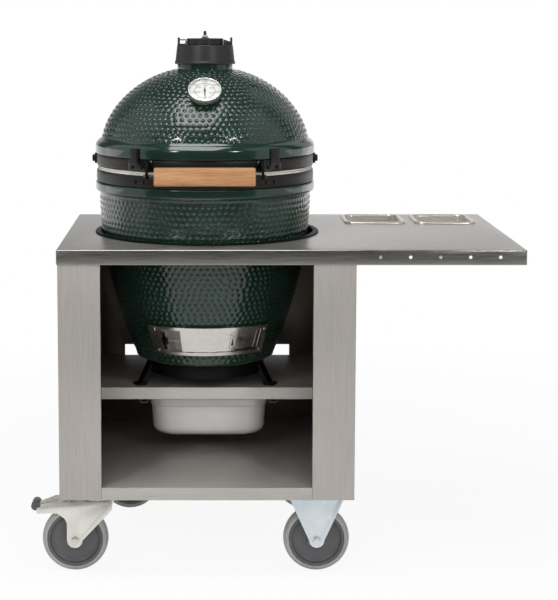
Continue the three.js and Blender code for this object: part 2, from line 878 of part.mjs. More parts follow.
for (const [corner, y] of [['front_right', -casterY], ['rear_right', casterY]]) {
  const place = placed(table, casterX, y, 0);
  piece(place, `caster_fork_${corner}`, makeFixedFork(), 'zincSteel');
  piece(place, `caster_axle_${corner}`, makeAxle(0, 0), 'zincSteel');
  addWheel(place, corner, 0);
}

// Kamado: everything below stands on the middle shelf, in the egg's own frame

const egg = placed(table, kamadoSideShift, 0, eggFootHeight);
const partingLine = baseNeckHeight + beadHeight + bandSeatHeight;
const domeFoot = partingLine + 2 * gasketThickness + seatGap;
const domeBead = domeFoot + bandSeatHeight;
const domeShoulder = domeBead + beadHeight;
const domeTop = domeShoulder + domeRise;

function baseRadius(height) {
  const drop = Math.max(0, (baseNeckHeight - height) / baseNeckHeight);
  return baseTopRadius - baseDraw * drop ** baseDrawPower;
}

// Outer profile of the base from its foot to the bead.
function baseProfile(inset, from, to, steps) {
  const points = [];
  for (let i = 0; i <= steps; i += 1) {
    const height = from + ((to - from) * i) / steps;
    points.push([baseRadius(height) - inset, height]);
  }
  return points;
}

const windowBottom = draftBottom + draftWindowInset;
const windowTop = draftTop - draftWindowInset;

function makeBase() {
  const lip = bandSeatRadius - ceramicWall;
  const shell = revolve([
    [0, 0], [footRadius, 0],
    [footRadius + footRound * footRoundShares[0], footRound * footRoundShares[1]],
    ...baseProfile(0, footRound, baseNeckHeight, 8),
    [beadRadius, baseNeckHeight + beadHeight / 5], [beadRadius, baseNeckHeight + beadHeight],
    [bandSeatRadius, baseNeckHeight + beadHeight], [bandSeatRadius, partingLine],
    [lip, partingLine], [lip, baseNeckHeight],
    ...baseProfile(ceramicWall, ceramicWall + footRound, baseNeckHeight, 5).reverse().slice(1),
    [footRadius - ceramicWall / 2, ceramicWall], [0, ceramicWall],
  ]);
  const window = sector(
    ring(footRadius / 2, beadRadius, windowBottom, windowTop),
    draftWindowStartAngle + draftEndWallAngle, draftWindowEndAngle, beadRadius, windowBottom, windowTop,
  );
  return cut(shell, window);
}
piece(egg, 'base_ceramic', makeBase(), 'greenGlaze');

// Dome: a shell that rises from a beaded rim to the chimney neck

function domeRadius(height, inset = 0) {
  const share = Math.min(1, Math.max(0, (height - domeShoulder) / (domeRise - inset)));
  return (domeShoulderRadius - inset) * (1 - share ** domePower) ** (1 / domeRoundPower);
}

function domeHeight(radius, inset = 0) {
  const share = (1 - (radius / (domeShoulderRadius - inset)) ** domeRoundPower) ** (1 / domePower);
  return domeShoulder + (domeRise - inset) * share;
}

// Heights crowd towards the top, where the dome turns in.
function domeProfile(inset, lowest, inner, steps) {
  const points = [];
  const highest = domeHeight(inner, inset);
  for (let i = 0; i <= steps; i += 1) {
    const height = lowest + (highest - lowest) * Math.sin((i / steps) * Math.PI / 2);
    points.push([domeRadius(height, inset), height]);
  }
  return points;
}

const neckTop = domeTop + neckHeight;

function domeSpot(height) {
  const step = domeRise / 500;
  const slope = (domeRadius(height + step) - domeRadius(height - step)) / (2 * step);
  return { radius: domeRadius(height), rise: Math.atan(-slope) / degree };
}

const gaugeHeight = domeShoulder + gaugeHeightShare * domeRise;
const gauge = domeSpot(gaugeHeight);
const gaugeTilt = gauge.rise;
const gaugeAxis = new THREE.Vector3(0, -Math.cos(gaugeTilt * degree), Math.sin(gaugeTilt * degree));
const gaugeFoot = new THREE.Vector3(0, -gauge.radius, gaugeHeight);

function makeDome() {
  const lip = bandSeatRadius - ceramicWall;
  const shell = revolve([
    [lip, domeFoot], [bandSeatRadius, domeFoot], [bandSeatRadius, domeBead],
    [beadRadius, domeBead], [beadRadius, domeShoulder - beadHeight / 8],
    [domeShoulderRadius + beadHeight / 3, domeShoulder + beadHeight / 5],
    ...domeProfile(0, domeShoulder + beadHeight / 2, neckRadius, 8),
    [neckRadius, neckTop], [chimneyRadius, neckTop],
    ...domeProfile(ceramicWall, domeShoulder, chimneyRadius, 6).reverse(),
    [lip, domeFoot],
  ]);
  const from = gaugeFoot.clone().addScaledVector(gaugeAxis, gaugeStandOff * 2);
  const to = gaugeFoot.clone().addScaledVector(gaugeAxis, -ceramicWall * 2);
  return cut(shell, bar(stemHole, from, to));
}
piece(egg, 'dome_ceramic', makeDome(), 'greenGlaze');

// Steel bands clamped round the two rims, and the felt gaskets between them

const bandInner = bandSeatRadius + bandClearance;
const bandOuter = bandInner + bandThickness;
const lowerBandFoot = baseNeckHeight + beadHeight + (bandSeatHeight - bandHeight) / 2;
const upperBandFoot = domeFoot + (bandSeatHeight - bandHeight) / 2;
piece(egg, 'lower_band', ring(
  bandInner, bandOuter, lowerBandFoot, lowerBandFoot + bandHeight,
), 'charcoalSteel');

// Clamp lug at the side of the upper band, with its nut.
function makeSideLug(side) {
  const z = upperBandFoot + bandHeight / 2;
  const root = side * (bandOuter - bandThickness / 2);
  const face = side * (bandOuter + lugPlate);
  return join(
    crossBar(lugPlateRadius, root, face, 0, z, 10),
    crossBar(lugNutRadius, root, face + side * lugNut, 0, z, 6),
  );
}
piece(egg, 'upper_band', join(
  ring(bandInner, bandOuter, upperBandFoot, upperBandFoot + bandHeight),
  makeSideLug(-1),
  makeSideLug(1),
), 'charcoalSteel');

const gasketOuter = bandSeatRadius + bandClearance;
const gasketInner = gasketOuter - gasketWidth;
const gasketHeight = gasketThickness - seatGap;
piece(egg, 'base_gasket', ring(
  gasketInner, gasketOuter, partingLine + seatGap / 2, partingLine + seatGap / 2 + gasketHeight,
), 'felt');
piece(egg, 'dome_gasket', ring(
  gasketInner, gasketOuter, domeFoot - seatGap / 2 - gasketHeight, domeFoot - seatGap / 2,
), 'felt');

// Fire box, fire ring, grate and cooking grid inside the base

const fireFoot = ceramicWall + seatGap;
const fireTop = fireFoot + baseNeckHeight * fireBoxHeightShare;
const fireRingFoot = fireTop + seatGap;
const fireRingTop = fireRingFoot + baseNeckHeight * fireRingHeightShare;
const fireRingOuter = baseRadius(fireRingFoot) - ceramicWall - fireRingClearance;
const fireBoxRadius = fireRingOuter - fireRingWall / 2;
const grateSeat = fireFoot + fireBoxFloor + fireGateHeight;
const grateFoot = grateSeat + seatGap;

function makeFireBox() {
  const cup = revolve([
    [0, fireFoot], [fireBoxFootRadius, fireFoot], [fireBoxRadius, fireTop],
    [fireBoxRadius - fireBoxWall, fireTop],
    [grateRadius + grateClearance, grateSeat], [grateRadius - grateLedge, grateSeat],
    [grateRadius - grateLedge, fireFoot + fireBoxFloor], [0, fireFoot + fireBoxFloor],
  ]);
  const gate = sector(
    ring(footRadius / 3, beadRadius, windowBottom + cutOver, windowTop),
    draftWindowStartAngle + draftEndWallAngle, draftWindowEndAngle, beadRadius, windowBottom, windowTop,
  );
  return cut(cup, gate);
}
piece(egg, 'fire_box', makeFireBox(), 'rawCeramic');

piece(egg, 'fire_ring', ring(
  fireRingOuter - fireRingWall, fireRingOuter, fireRingFoot, fireRingTop,
), 'rawCeramic');

function makeGrate() {
  const disc = upright(grateRadius, 0, 0, grateFoot, grateFoot + grateThickness, 24);
  const slots = [];
  for (let i = 0; i < grateSlots; i += 1) {
    const y = (i - (grateSlots - 1) / 2) * 3 * grateSlotWidth;
    const half = Math.sqrt(grateRadius ** 2 - y ** 2) - 2 * grateSlotWidth;
    slots.push(block(
      -half, half, y - grateSlotWidth / 2, y + grateSlotWidth / 2,
      grateFoot - cutOver, grateFoot + grateThickness + cutOver,
    ));
  }
  return cut(disc, ...slots);
}
piece(egg, 'fire_grate', makeGrate(), 'castIron');

function makeGrid() {
  const foot = fireRingTop + seatGap;
  const height = foot + 2 * gridBarRadius + gridLedge;
  const rimRing = ring(fireRingOuter - gridRimWidth, fireRingOuter, foot, height, 24);
  const bars = [];
  for (let i = 0; i < gridBars; i += 1) {
    const y = ((i + 1) / (gridBars + 1) * 2 - 1) * fireRingOuter;
    const half = Math.sqrt(fireRingOuter ** 2 - y ** 2) - gridRimWidth / 2;
    bars.push(crossBar(gridBarRadius, -half, half, y, height - gridBarRadius, 6));
  }
  return join(rimRing, ...bars);
}
piece(egg, 'cooking_grid', makeGrid(), 'polishedSteel');

// Nest: a steel ring on three bent legs that carries the egg

function makeNest() {
  const ringTop = -seatGap;
  const foot = -nestHeight + seatGap;
  const ringPart = ring(nestRingRadius - nestRingBar, nestRingRadius, ringTop - nestRingHeight, ringTop, 24);
  const legs = [-nestLegAngle, nestLegAngle, halfTurn].map((angle) => {
    const half = nestLegWidth / 2;
    const topRadius = nestRingRadius - nestRingBar / 2;
    const outline = [
      [topRadius, ringTop - nestLegBar], [topRadius + nestLegBar, ringTop - nestLegBar],
      [nestFootRadius, foot + nestLegBar], [nestFootRadius + nestFootLength / 2, foot + nestLegBar],
      [nestFootRadius + nestFootLength / 2, foot], [nestFootRadius - nestFootLength / 2, foot],
    ];
    return sidePlate(outline.map(([radius, z]) => [-radius, z]), -half, half).rotateZ(angle * degree);
  });
  return join(ringPart, ...legs);
}
piece(egg, 'nest_stand', makeNest(), 'blackGloss');

// Handle: brackets on the upper band, a steel rod through them and a wooden bar on the rod

const bracketFoot = upperBandFoot + seatGap;
const bracketTop = upperBandFoot + bandHeight - seatGap;
const bracketInner = bandOuter + bandClearance;
const bracketOuter = bracketInner + bracketThickness;
const tabInner = beadRadius + bandClearance;
const tabOuter = tabInner + bracketThickness;
const handleZ = domeFoot - handleDrop;
const armInside = handleLength / 2 + handleArmGap;

function makeHandleBracket(side) {
  const span = side > 0 ? [bracketStartAngle, bracketEndAngle] : [-bracketEndAngle, -bracketStartAngle];
  const tabSpan = side > 0 ? [tabStartAngle, tabEndAngle] : [-tabEndAngle, -tabStartAngle];
  const strap = sector(
    ring(bracketInner, bracketOuter, bracketFoot, bracketTop), ...span, beadRadius, bracketFoot, bracketTop,
  );
  const tabFoot = bracketTop - tabDrop;
  const tab = sector(
    ring(tabInner, tabOuter, tabFoot, tabFoot + tabRise), ...tabSpan, beadRadius, tabFoot, tabFoot + tabRise,
  );
  const tongue = sector(
    ring(bracketInner, tabOuter, tabFoot, bracketTop), ...tabSpan, beadRadius, tabFoot, bracketTop,
  );
  const reach = -handleReach - handleArmHeight / 2;
  const root = -Math.sqrt(bracketOuter ** 2 - armInside ** 2) + bracketThickness / 2;
  const armSides = [side * armInside, side * (armInside + handleArm)].sort((a, b) => a - b);
  const arm = sidePlate([
    [root, bracketTop], [reach, handleZ + handleArmHeight / 2], [reach, handleZ - handleArmHeight / 2],
    [reach + handleArmHeight, handleZ - handleArmHeight / 2], [root, bracketFoot],
  ], ...armSides);
  const hole = crossBar(
    handleRodRadius + seatGap, armSides[0] - cutOver, armSides[1] + cutOver, -handleReach, handleZ,
  );
  return cut(join(strap, tab, tongue, arm), hole);
}
piece(egg, 'handle_bracket_left', makeHandleBracket(-1), 'blackGloss');
piece(egg, 'handle_bracket_right', makeHandleBracket(1), 'blackGloss');

const rodEnd = armInside + handleArm + handleRodRadius;
piece(egg, 'handle_rod', crossBar(handleRodRadius, -rodEnd, rodEnd, -handleReach, handleZ), 'zincSteel');
piece(egg, 'handle_bar', cut(
  block(
    -handleLength / 2, handleLength / 2, -handleReach - handleDepth / 2, -handleReach + handleDepth / 2,
    handleZ - handleHeight / 2, handleZ + handleHeight / 2,
  ),
  crossBar(handleBore, -handleLength, handleLength, -handleReach, handleZ),
), 'oak');

// Hinge at the back: ears on both bands, one pin and a torsion spring wound round it

const hingeZ = partingLine + gasketThickness;

function earOutline(low, high, earPlace) {
  const root = Math.sqrt((bracketInner + bracketThickness / 3) ** 2 - earPlace ** 2);
  const outline = [[root, low]];
  const rise = (low + high) / 2 < hingeZ;
  const steps = 6;
  const start = rise ? -Math.PI / 2 : 0;
  for (let i = 0; i <= steps; i += 1) {
    const angle = start + (Math.PI * 3 / 4) * (i / steps) - (rise ? Math.PI / 8 : Math.PI / 4);
    outline.push([
      hingePinReach + hingeEarRadius * Math.cos(angle),
      hingeZ + hingeEarRadius * Math.sin(angle),
    ]);
  }
  outline.push([root, high]);
  return outline;
}

function makeHinge(foot, earPlace) {
  const low = foot + seatGap;
  const high = foot + bandHeight - seatGap;
  const strap = sector(
    ring(bracketInner, bracketOuter, low, high),
    halfTurn - hingeStrapAngle, halfTurn + hingeStrapAngle, beadRadius, low, high,
  );
  const outline = earOutline(low, high, earPlace);
  const pinHole = crossBar(hingePinHole, -hingePinLength, hingePinLength, hingePinReach, hingeZ);
  return cut(join(
    strap,
    sidePlate(outline, -earPlace - hingeEar, -earPlace),
    sidePlate(outline, earPlace, earPlace + hingeEar),
  ), pinHole);
}
piece(egg, 'hinge_lower', makeHinge(lowerBandFoot, lowerEarPlace), 'charcoalSteel');
piece(egg, 'hinge_upper', makeHinge(upperBandFoot, upperEarPlace), 'charcoalSteel');
piece(egg, 'hinge_pin', crossBar(
  hingePinRadius, -hingePinLength / 2, hingePinLength / 2, hingePinReach, hingeZ,
), 'zincSteel');

// One unbroken wire: each turn has eight steps of a five-sided section.
function makeSpring() {
  const stepsPerTurn = 8;
  const sides = 5;
  const steps = springTurns * stepsPerTurn;
  const coilRadius = hingePinRadius + springFit + springWireRadius;
  const loops = [];
  for (let i = 0; i <= steps; i += 1) {
    const angle = (i / stepsPerTurn) * 2 * Math.PI;
    const x = (i / steps - 1 / 2) * springLength;
    const loop = [];
    for (let k = 0; k < sides; k += 1) {
      const around = (k / sides) * 2 * Math.PI;
      const radius = coilRadius + springWireRadius * Math.cos(around);
      const along = x + springWireRadius * Math.sin(around);
      loop.push([along, hingePinReach + radius * Math.cos(angle), hingeZ + radius * Math.sin(angle)]);
    }
    loops.push(loop);
  }
  return loft(loops);
}
piece(egg, 'hinge_spring', makeSpring(), 'castIron');
const springPitch = springLength / springTurns;
console.log('hinge_spring least gap between turns', (springPitch - 2 * springWireRadius).toFixed(2));

// Cap: a cast body over the neck, a turning disc with ports and its spindle. An ear stands at
// each side of the disc, the left one open under its bar.

const capFoot = neckTop - capSkirtDrop;
const capTop = capFoot + capHeight;
const capSides = 24;

function makeCap() {
  const sleeve = neckRadius + capNeckGap;
  const shelf = neckTop + seatGap;
  const body = revolve([
    [sleeve, capFoot], [capSkirtRadius, capFoot], [capSkirtRadius, capFoot + capWall],
    [capTopRadius, capTop - capWall / 4], [capTopRadius - capWall / 4, capTop],
    [capBore, capTop], [capBore, capTop - capPlate], [capTopRadius - 2 * capWall, capTop - capPlate],
    [chimneyRadius + capWall, shelf], [sleeve, shelf], [sleeve, capFoot],
  ], capSides);
  const spokes = [0, 1].map((count) => {
    const half = capWall;
    const long = capBore + capWall;
    const sizes = count === 0 ? [-long, long, -half, half] : [-half, half, -long, long];
    return block(...sizes, capTop - capPlate, capTop);
  });
  const outer = capTopRadius - capWall / 4;
  const inner = discRadius + earGap;
  const post = outer - earPost;
  const root = -capPlate / 2;
  const barTop = earBarFoot + earBar;
  const pointFoot = earHeight - earTip;
  const outlines = [
    [
      [inner, root], [outer, root], [outer, pointFoot], [outer - earTip, earHeight], [post, pointFoot],
      [post, barTop], [inner, barTop], [inner, earBarFoot], [post, earBarFoot], [post, earFoot],
      [inner, earFoot],
    ],
    [
      [inner, root], [outer, root], [outer, pointFoot], [outer - earTip, earHeight], [post, pointFoot],
      [post, earSlopeFoot], [inner, barTop],
    ],
  ];
  const ears = outlines.map((outline, count) => {
    const side = 2 * count - 1;
    return facePlate(outline.map(([x, z]) => [side * x, capTop + z]), -earWidth / 2, earWidth / 2);
  });
  const bore = upright(spindleRadius + seatGap, 0, 0, capTop - capPlate - cutOver, capTop + cutOver, 8);
  return cut(join(body, ...spokes, ...ears), bore);
}
piece(egg, 'cap_body', makeCap(), 'castIron');

function makeDisc() {
  const foot = capTop + seatGap;
  const disc = revolve([
    [0, foot], [discRadius, foot], [discRadius, foot + discStep], [discHubRadius, foot + discStep],
    [discHubRadius - capWall / 2, foot + discHeight], [0, foot + discHeight],
  ], capSides);
  const ports = [];
  for (let i = 0; i < discPorts; i += 1) {
    const angle = (i + 1 / 2) * 360 / discPorts;
    const [x, y] = aroundFront(angle, discPortRing);
    ports.push(upright(discPort, x, y, foot - cutOver, foot + discHeight + cutOver, 8));
  }
  const bore = upright(spindleRadius + seatGap, 0, 0, foot - cutOver, foot + discHeight + cutOver, 8);
  return cut(disc, bore, ...ports);
}
piece(egg, 'cap_disc', makeDisc(), 'castIron');

function makeSpindle() {
  const under = capTop - capPlate - seatGap;
  const discTop = capTop + seatGap + discHeight + seatGap;
  return join(
    upright(spindleRadius, 0, 0, under - spindleNut, discTop + spindleHeight, 8),
    upright(spindleNutRadius, 0, 0, under - spindleNut, under, 6),
    upright(spindleNutRadius, 0, 0, discTop, discTop + spindleNut, 6),
  );
}
piece(egg, 'cap_spindle', makeSpindle(), 'zincSteel');

// Thermometer: built with its face up, then leaned against the front of the dome

const gaugePlace = placed(egg, gaugeFoot.x, gaugeFoot.y, gaugeFoot.z);
gaugePlace.rotation.x = (90 - gaugeTilt) * degree;

const gaugeSides = 24;

function makeGaugeCase() {
  const back = gaugeStandOff;
  const face = back + gaugeDepth;
  const inner = gaugeRadius - gaugeWall;
  return revolve([
    [0, -stemLength], [stemRadius, -stemLength], [stemRadius, -seatGap], [gaugeCollarRadius, -seatGap],
    [gaugeCollarRadius, back], [gaugeRadius, back], [gaugeRadius, face - gaugeWall / 2],
    [gaugeRadius - gaugeWall / 2, face], [inner, face], [inner, back + gaugeBack],
    [0, back + gaugeBack],
  ], gaugeSides);
}
piece(gaugePlace, 'thermometer_case', makeGaugeCase(), 'polishedSteel');
const dialFoot = gaugeStandOff + gaugeBack + seatGap;
const dialRadius = gaugeRadius - gaugeWall - seatGap;
piece(gaugePlace, 'thermometer_dial', upright(
  dialRadius, 0, 0, dialFoot, dialFoot + dialThickness, gaugeSides,
), 'dialWhite');

function makeNeedle() {
  const foot = dialFoot + dialThickness + needleFloat;
  const half = needleWidth / 2;
  const pointer = plate([
    [-half, needleTail], [-half, 0], [-half / 3, -needleLength], [half / 3, -needleLength], [half, 0],
    [half, needleTail],
  ], foot, foot + needleThickness);
  const hub = upright(needleHub, 0, 0, dialFoot + dialThickness + seatGap, foot + 2 * needleThickness, 10);
  return join(pointer, hub).rotateZ(needleAngle * degree);
}
piece(gaugePlace, 'thermometer_needle', makeNeedle(), 'charcoalSteel');

// Draft door: a curved frame on the base, with a screen and a solid door sliding behind its lips

function draftSkin(inside, outside, bottom, top) {
  return revolve([
    [baseRadius(bottom) + inside, bottom], [baseRadius(bottom) + outside, bottom],
    [baseRadius(top) + outside, top], [baseRadius(top) + inside, top], [baseRadius(bottom) + inside, bottom],
  ]);
}

function draftPiece(inside, outside, bottom, top, start, end) {
  return sector(draftSkin(inside, outside, bottom, top), start, end, beadRadius, bottom, top);
}

const draftSeat = 3 * seatGap;
const screenIn = draftSeat + draftBack + draftRunGap;
const doorIn = screenIn + draftPanel + draftRunGap;
const lipIn = doorIn + draftPanel + draftRunGap;
const lipOut = lipIn + draftLip;
const panelBottom = draftBottom + draftLedge / 3 + seatGap;
const panelTop = draftTop - draftLedge / 3 - draftRunGap;

function makeDraftFrame() {
  const ledge = draftLedge / 3;
  const start = draftStartAngle;
  const end = draftEndAngle;
  return cut(
    join(
      draftPiece(draftSeat, draftSeat + draftBack, draftBottom, draftTop, start, end),
      draftPiece(draftSeat, lipOut, draftBottom, draftBottom + ledge, start, end),
      draftPiece(draftSeat, lipOut, draftTop - ledge, draftTop, start, end),
      draftPiece(lipIn, lipOut, draftBottom, draftBottom + draftLedge, start, end),
      draftPiece(lipIn, lipOut, draftTop - draftLedge, draftTop, start, end),
      draftPiece(lipIn, lipOut, draftBottom, draftTop, start, start + draftLeftPlateAngle),
      draftPiece(lipIn, lipOut, draftBottom, draftTop, end - draftRightPlateAngle, end),
      draftPiece(draftSeat, lipOut, draftBottom, draftTop, start, start + draftEndWallAngle * 2),
      draftPiece(draftSeat, lipOut, draftBottom, draftTop, end - draftEndWallAngle, end),
    ),
    sector(
      ring(footRadius / 2, beadRadius, windowBottom, windowTop),
      draftWindowStartAngle, draftWindowEndAngle, beadRadius, windowBottom, windowTop,
    ),
  );
}
piece(egg, 'draft_frame', makeDraftFrame(), 'brushedSteel');

function draftKnob(inside, start) {
  const middle = (draftBottom + draftTop) / 2;
  return draftPiece(
    inside, inside + draftKnobReach, middle - draftKnobHeight / 2, middle + draftKnobHeight / 2,
    start, start + draftKnobAngle,
  );
}

function makeScreen() {
  const end = draftScreenStartAngle + draftPanelAngle;
  const skin = draftPiece(screenIn, screenIn + draftPanel, panelBottom, panelTop, draftScreenStartAngle, end);
  const slots = [];
  const clear = draftPanelAngle - 3 * draftKnobAngle;
  for (let i = 0; i < screenSlots; i += 1) {
    const from = draftScreenStartAngle + 2 * draftKnobAngle + (clear / screenSlots) * i;
    slots.push(sector(
      ring(footRadius / 2, beadRadius, windowBottom, windowTop),
      from, from + clear / screenSlots / 2, beadRadius, windowBottom, windowTop,
    ));
  }
  return join(cut(skin, ...slots), draftKnob(screenIn, draftScreenStartAngle + draftKnobInsetAngle));
}
piece(egg, 'draft_screen', makeScreen(), 'innerSteel');

function makeDoor() {
  const end = draftDoorStartAngle + draftPanelAngle;
  return join(
    draftPiece(doorIn, doorIn + draftPanel, panelBottom, panelTop, draftDoorStartAngle, end),
    draftKnob(doorIn, end - draftKnobInsetAngle - draftKnobAngle),
  );
}
piece(egg, 'draft_door', makeDoor(), 'polishedSteel');

export default group;
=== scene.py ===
# Kamado grill table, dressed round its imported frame. Metres, +Z up, front towards -Y.

import bisect
import json
import math
import random
from contextlib import contextmanager
import bpy
import bmesh
from mathutils import Matrix, Vector, kdtree


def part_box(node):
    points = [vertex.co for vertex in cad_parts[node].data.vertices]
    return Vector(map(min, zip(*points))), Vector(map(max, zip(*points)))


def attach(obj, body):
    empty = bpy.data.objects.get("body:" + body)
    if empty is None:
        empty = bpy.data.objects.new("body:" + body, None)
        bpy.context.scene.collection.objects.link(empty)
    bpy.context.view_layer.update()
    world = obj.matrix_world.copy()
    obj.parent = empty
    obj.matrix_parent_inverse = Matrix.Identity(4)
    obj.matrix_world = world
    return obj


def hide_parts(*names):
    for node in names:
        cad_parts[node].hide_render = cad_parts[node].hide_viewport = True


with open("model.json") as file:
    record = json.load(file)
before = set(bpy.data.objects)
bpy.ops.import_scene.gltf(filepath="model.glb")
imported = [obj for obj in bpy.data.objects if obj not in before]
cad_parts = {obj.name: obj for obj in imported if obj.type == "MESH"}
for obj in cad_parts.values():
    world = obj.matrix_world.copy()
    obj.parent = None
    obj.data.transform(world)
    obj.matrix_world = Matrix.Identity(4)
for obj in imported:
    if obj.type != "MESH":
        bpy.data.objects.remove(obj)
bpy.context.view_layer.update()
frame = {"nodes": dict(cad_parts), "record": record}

# Camera: a long lens four metres in front of the kamado, tipped a little down. The picture is
# cut from a wider one, so its middle lies right of and below the point that the lens faces.
image_width, image_height = 558, 600
focal_pixels = 1620.4
faced_pixel = (208.36, 200.0)
camera_aside = 0.00845
camera_reach = 4.0908
camera_height = 1.3356
camera_tip = math.radians(6.377)

grate_low, grate_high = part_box("fire_grate")
axis = (grate_low + grate_high) / 2
axis.z = 0


def linked(name, data):
    piece = bpy.data.objects.new(name, data)
    bpy.context.scene.collection.objects.link(piece)
    return piece


camera_data = bpy.data.cameras.new("camera")
camera_data.sensor_width = 36
camera_data.lens = focal_pixels / image_height * camera_data.sensor_width
camera_data.shift_x = (image_width / 2 - faced_pixel[0]) / image_height
camera_data.shift_y = -(image_height / 2 - faced_pixel[1]) / image_height
camera = linked("camera", camera_data)
camera.location = (axis.x + camera_aside, -camera_reach, camera_height)
camera.rotation_euler = (math.pi / 2 - camera_tip, 0, 0)
bpy.context.scene.camera = camera


# Side panels: sheet steel brushed along its height, folded at the front to a wide post with
# a return and at the back to a narrow flange. Each is dressed from its solid, with its
# folds rounded as a press brake leaves them.
fold_round = 0.0007
fold_limit = math.radians(32)
cut_limit = math.radians(50)
weld_gap = 0.000002
flat_limit = math.radians(1)


def colour(code):
    """Linear colour of a hexadecimal one."""
    shares = [int(code[i:i + 2], 16) / 255 for i in (1, 3, 5)]
    return tuple(s / 12.92 if s <= 0.04045 else ((s + 0.055) / 1.055) ** 2.4 for s in shares)


def named(sockets, key):
    """A socket by its place in the row, its identifier or its name."""
    if isinstance(key, int):
        return sockets[key]
    return next(socket for socket in sockets if key in (socket.identifier, socket.name))


def fill(tree, node, inputs):
    """Gives a node's inputs their values, or links them to other nodes' outputs."""
    for key, value in inputs.items():
        socket = named(node.inputs, key)
        if isinstance(value, bpy.types.NodeSocket):
            tree.links.new(value, socket)
        else:
            socket.default_value = (*value, 1) if socket.type == "RGBA" else value


def add(tree, kind, inputs=None, out=0, **settings):
    """Adds a node with its settings and inputs, and gives one of its outputs."""
    node = tree.nodes.new(kind)
    for name, value in settings.items():
        setattr(node, name, value)
    fill(tree, node, inputs or {})
    return named(node.outputs, out)


def maths(tree, operation, *values):
    """Result of an operation on one, two or three values."""
    return add(tree, "ShaderNodeMath", dict(enumerate(values)), operation=operation)


def places_in(tree, stretch=(1, 1, 1)):
    source = add(tree, "ShaderNodeTexCoord", out="Object")
    return add(tree, "ShaderNodeMapping", {"Vector": source, "Scale": stretch})


def noise_in(tree, scale, detail, stretch=(1, 1, 1)):
    place = places_in(tree, stretch)
    return add(tree, "ShaderNodeTexNoise", {"Vector": place, "Scale": scale, "Detail": detail})


def ranged(tree, value, low, high, start=0.3, end=0.7, **settings):
    return add(tree, "ShaderNodeMapRange", {
        "Value": value, "From Min": start, "From Max": end, "To Min": low, "To Max": high,
    }, **settings)


def mixed(tree, first, second, share=1, blend="MIX"):
    """Two colours, mixed by a share or multiplied."""
    return add(tree, "ShaderNodeMix", {
        "Factor_Float": share, "A_Color": first, "B_Color": second,
    }, "Result_Color", data_type="RGBA", blend_type=blend)


def mottled(tree, noise, first, second, start=0.3, end=0.7):
    return mixed(tree, first, second, ranged(tree, noise, 0, 1, start, end))


def shades(tint, darker, lighter):
    """A darker and a lighter shade of a tint."""
    return [c * (1 - darker) for c in tint], [min(1, c * (1 + lighter)) for c in tint]


def new_material(name, tint, roughness, metallic=0.0, **inputs):
    """Material of one shader, with more of the shader's inputs where they are given."""
    material = bpy.data.materials.new(name)
    material.use_nodes = True
    return dressed_up(material, {
        "Base Color": tint, "Roughness": roughness, "Metallic": metallic,
        **{key.replace("_", " "): value for key, value in inputs.items()},
    })


def dressed_up(material, inputs, height=None, depth=0.0, strength=1.0):
    """Sets or links inputs of a material's shader, and bumps it by a height."""
    tree = material.node_tree
    if height is not None:
        inputs["Normal"] = add(tree, "ShaderNodeBump", {
            "Height": height, "Distance": depth, "Strength": strength,
        })
    fill(tree, tree.nodes["Principled BSDF"], inputs)
    return material


def brushed_steel(name, tint, along, roughness=0.34, spread=0.8, metallic=1.0, streak=1.0):
    """Steel with fine lines along one axis, which spread its shine across them, and faint
    clouds left by handling."""
    material = new_material(name, tint, roughness, metallic, Anisotropic=spread)
    tree = material.node_tree
    lines = noise_in(tree, 900, 3, [1.0 if letter != along else 0.012 for letter in "XYZ"])
    streaks = mottled(tree, lines, *shades(tint, 0.14 * streak, 0.1 * streak))
    smudges = mottled(tree, noise_in(tree, 5, 4), (0.93,) * 3, (1.0,) * 3)
    return dressed_up(material, {
        "Tangent": add(tree, "ShaderNodeTangent", direction_type="RADIAL", axis=along),
        "Base Color": mixed(tree, streaks, smudges, blend="MULTIPLY"),
        "Roughness": ranged(tree, lines, roughness - 0.06, roughness + 0.08),
    }, lines, 0.00004 * streak, 0.35)


def kept(name, mesh):
    """Makes a working mesh into a piece."""
    data = bpy.data.meshes.new(name)
    mesh.to_mesh(data)
    mesh.free()
    return linked(name, data)


def plain_mesh(piece):
    """The mesh that a piece's modifiers or letters make."""
    bpy.context.view_layer.update()
    graph = bpy.context.evaluated_depsgraph_get()
    return bpy.data.meshes.new_from_object(piece.evaluated_get(graph))


def baked(piece):
    """Turns what the modifiers make into the piece's own mesh."""
    made = plain_mesh(piece)
    piece.modifiers.clear()
    piece.data = made
    return piece


@contextmanager
def working(piece):
    """A piece's mesh, open for work on its points and faces."""
    mesh = bmesh.new()
    mesh.from_mesh(piece.data)
    yield mesh
    mesh.to_mesh(piece.data)
    mesh.free()


def eased(piece, limit=fold_limit):
    """Smooth shading, broken only at edges that are sharper than the limit."""
    with working(piece) as mesh:
        for face in mesh.faces:
            face.smooth = True
        for edge in mesh.edges:
            edge.smooth = len(edge.link_faces) == 2 and edge.calc_face_angle(0) < limit
    return piece


def rounded(piece, width=fold_round, segments=2, limit=fold_limit):
    """Bevels every edge that is sharper than the limit."""
    bevel = piece.modifiers.new("round", "BEVEL")
    bevel.width = width
    bevel.segments = segments
    bevel.limit_method = "ANGLE"
    bevel.angle_limit = limit
    bevel.harden_normals = False
    return eased(baked(piece))


def fitted(piece, node, *materials, stands_for=None):
    """Gives a piece its materials, and lets it ride and stand for a node of the frame."""
    if materials:
        piece.data.materials.clear()
        for material in materials:
            piece.data.materials.append(material)
    record = frame["record"]
    owner = next(b for b, nodes in record["behaviour"]["bodies"].items() if node in nodes)
    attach(piece, owner)
    if stands_for is None:
        stands_for = [node]
    if stands_for:
        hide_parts(*stands_for)
    return piece


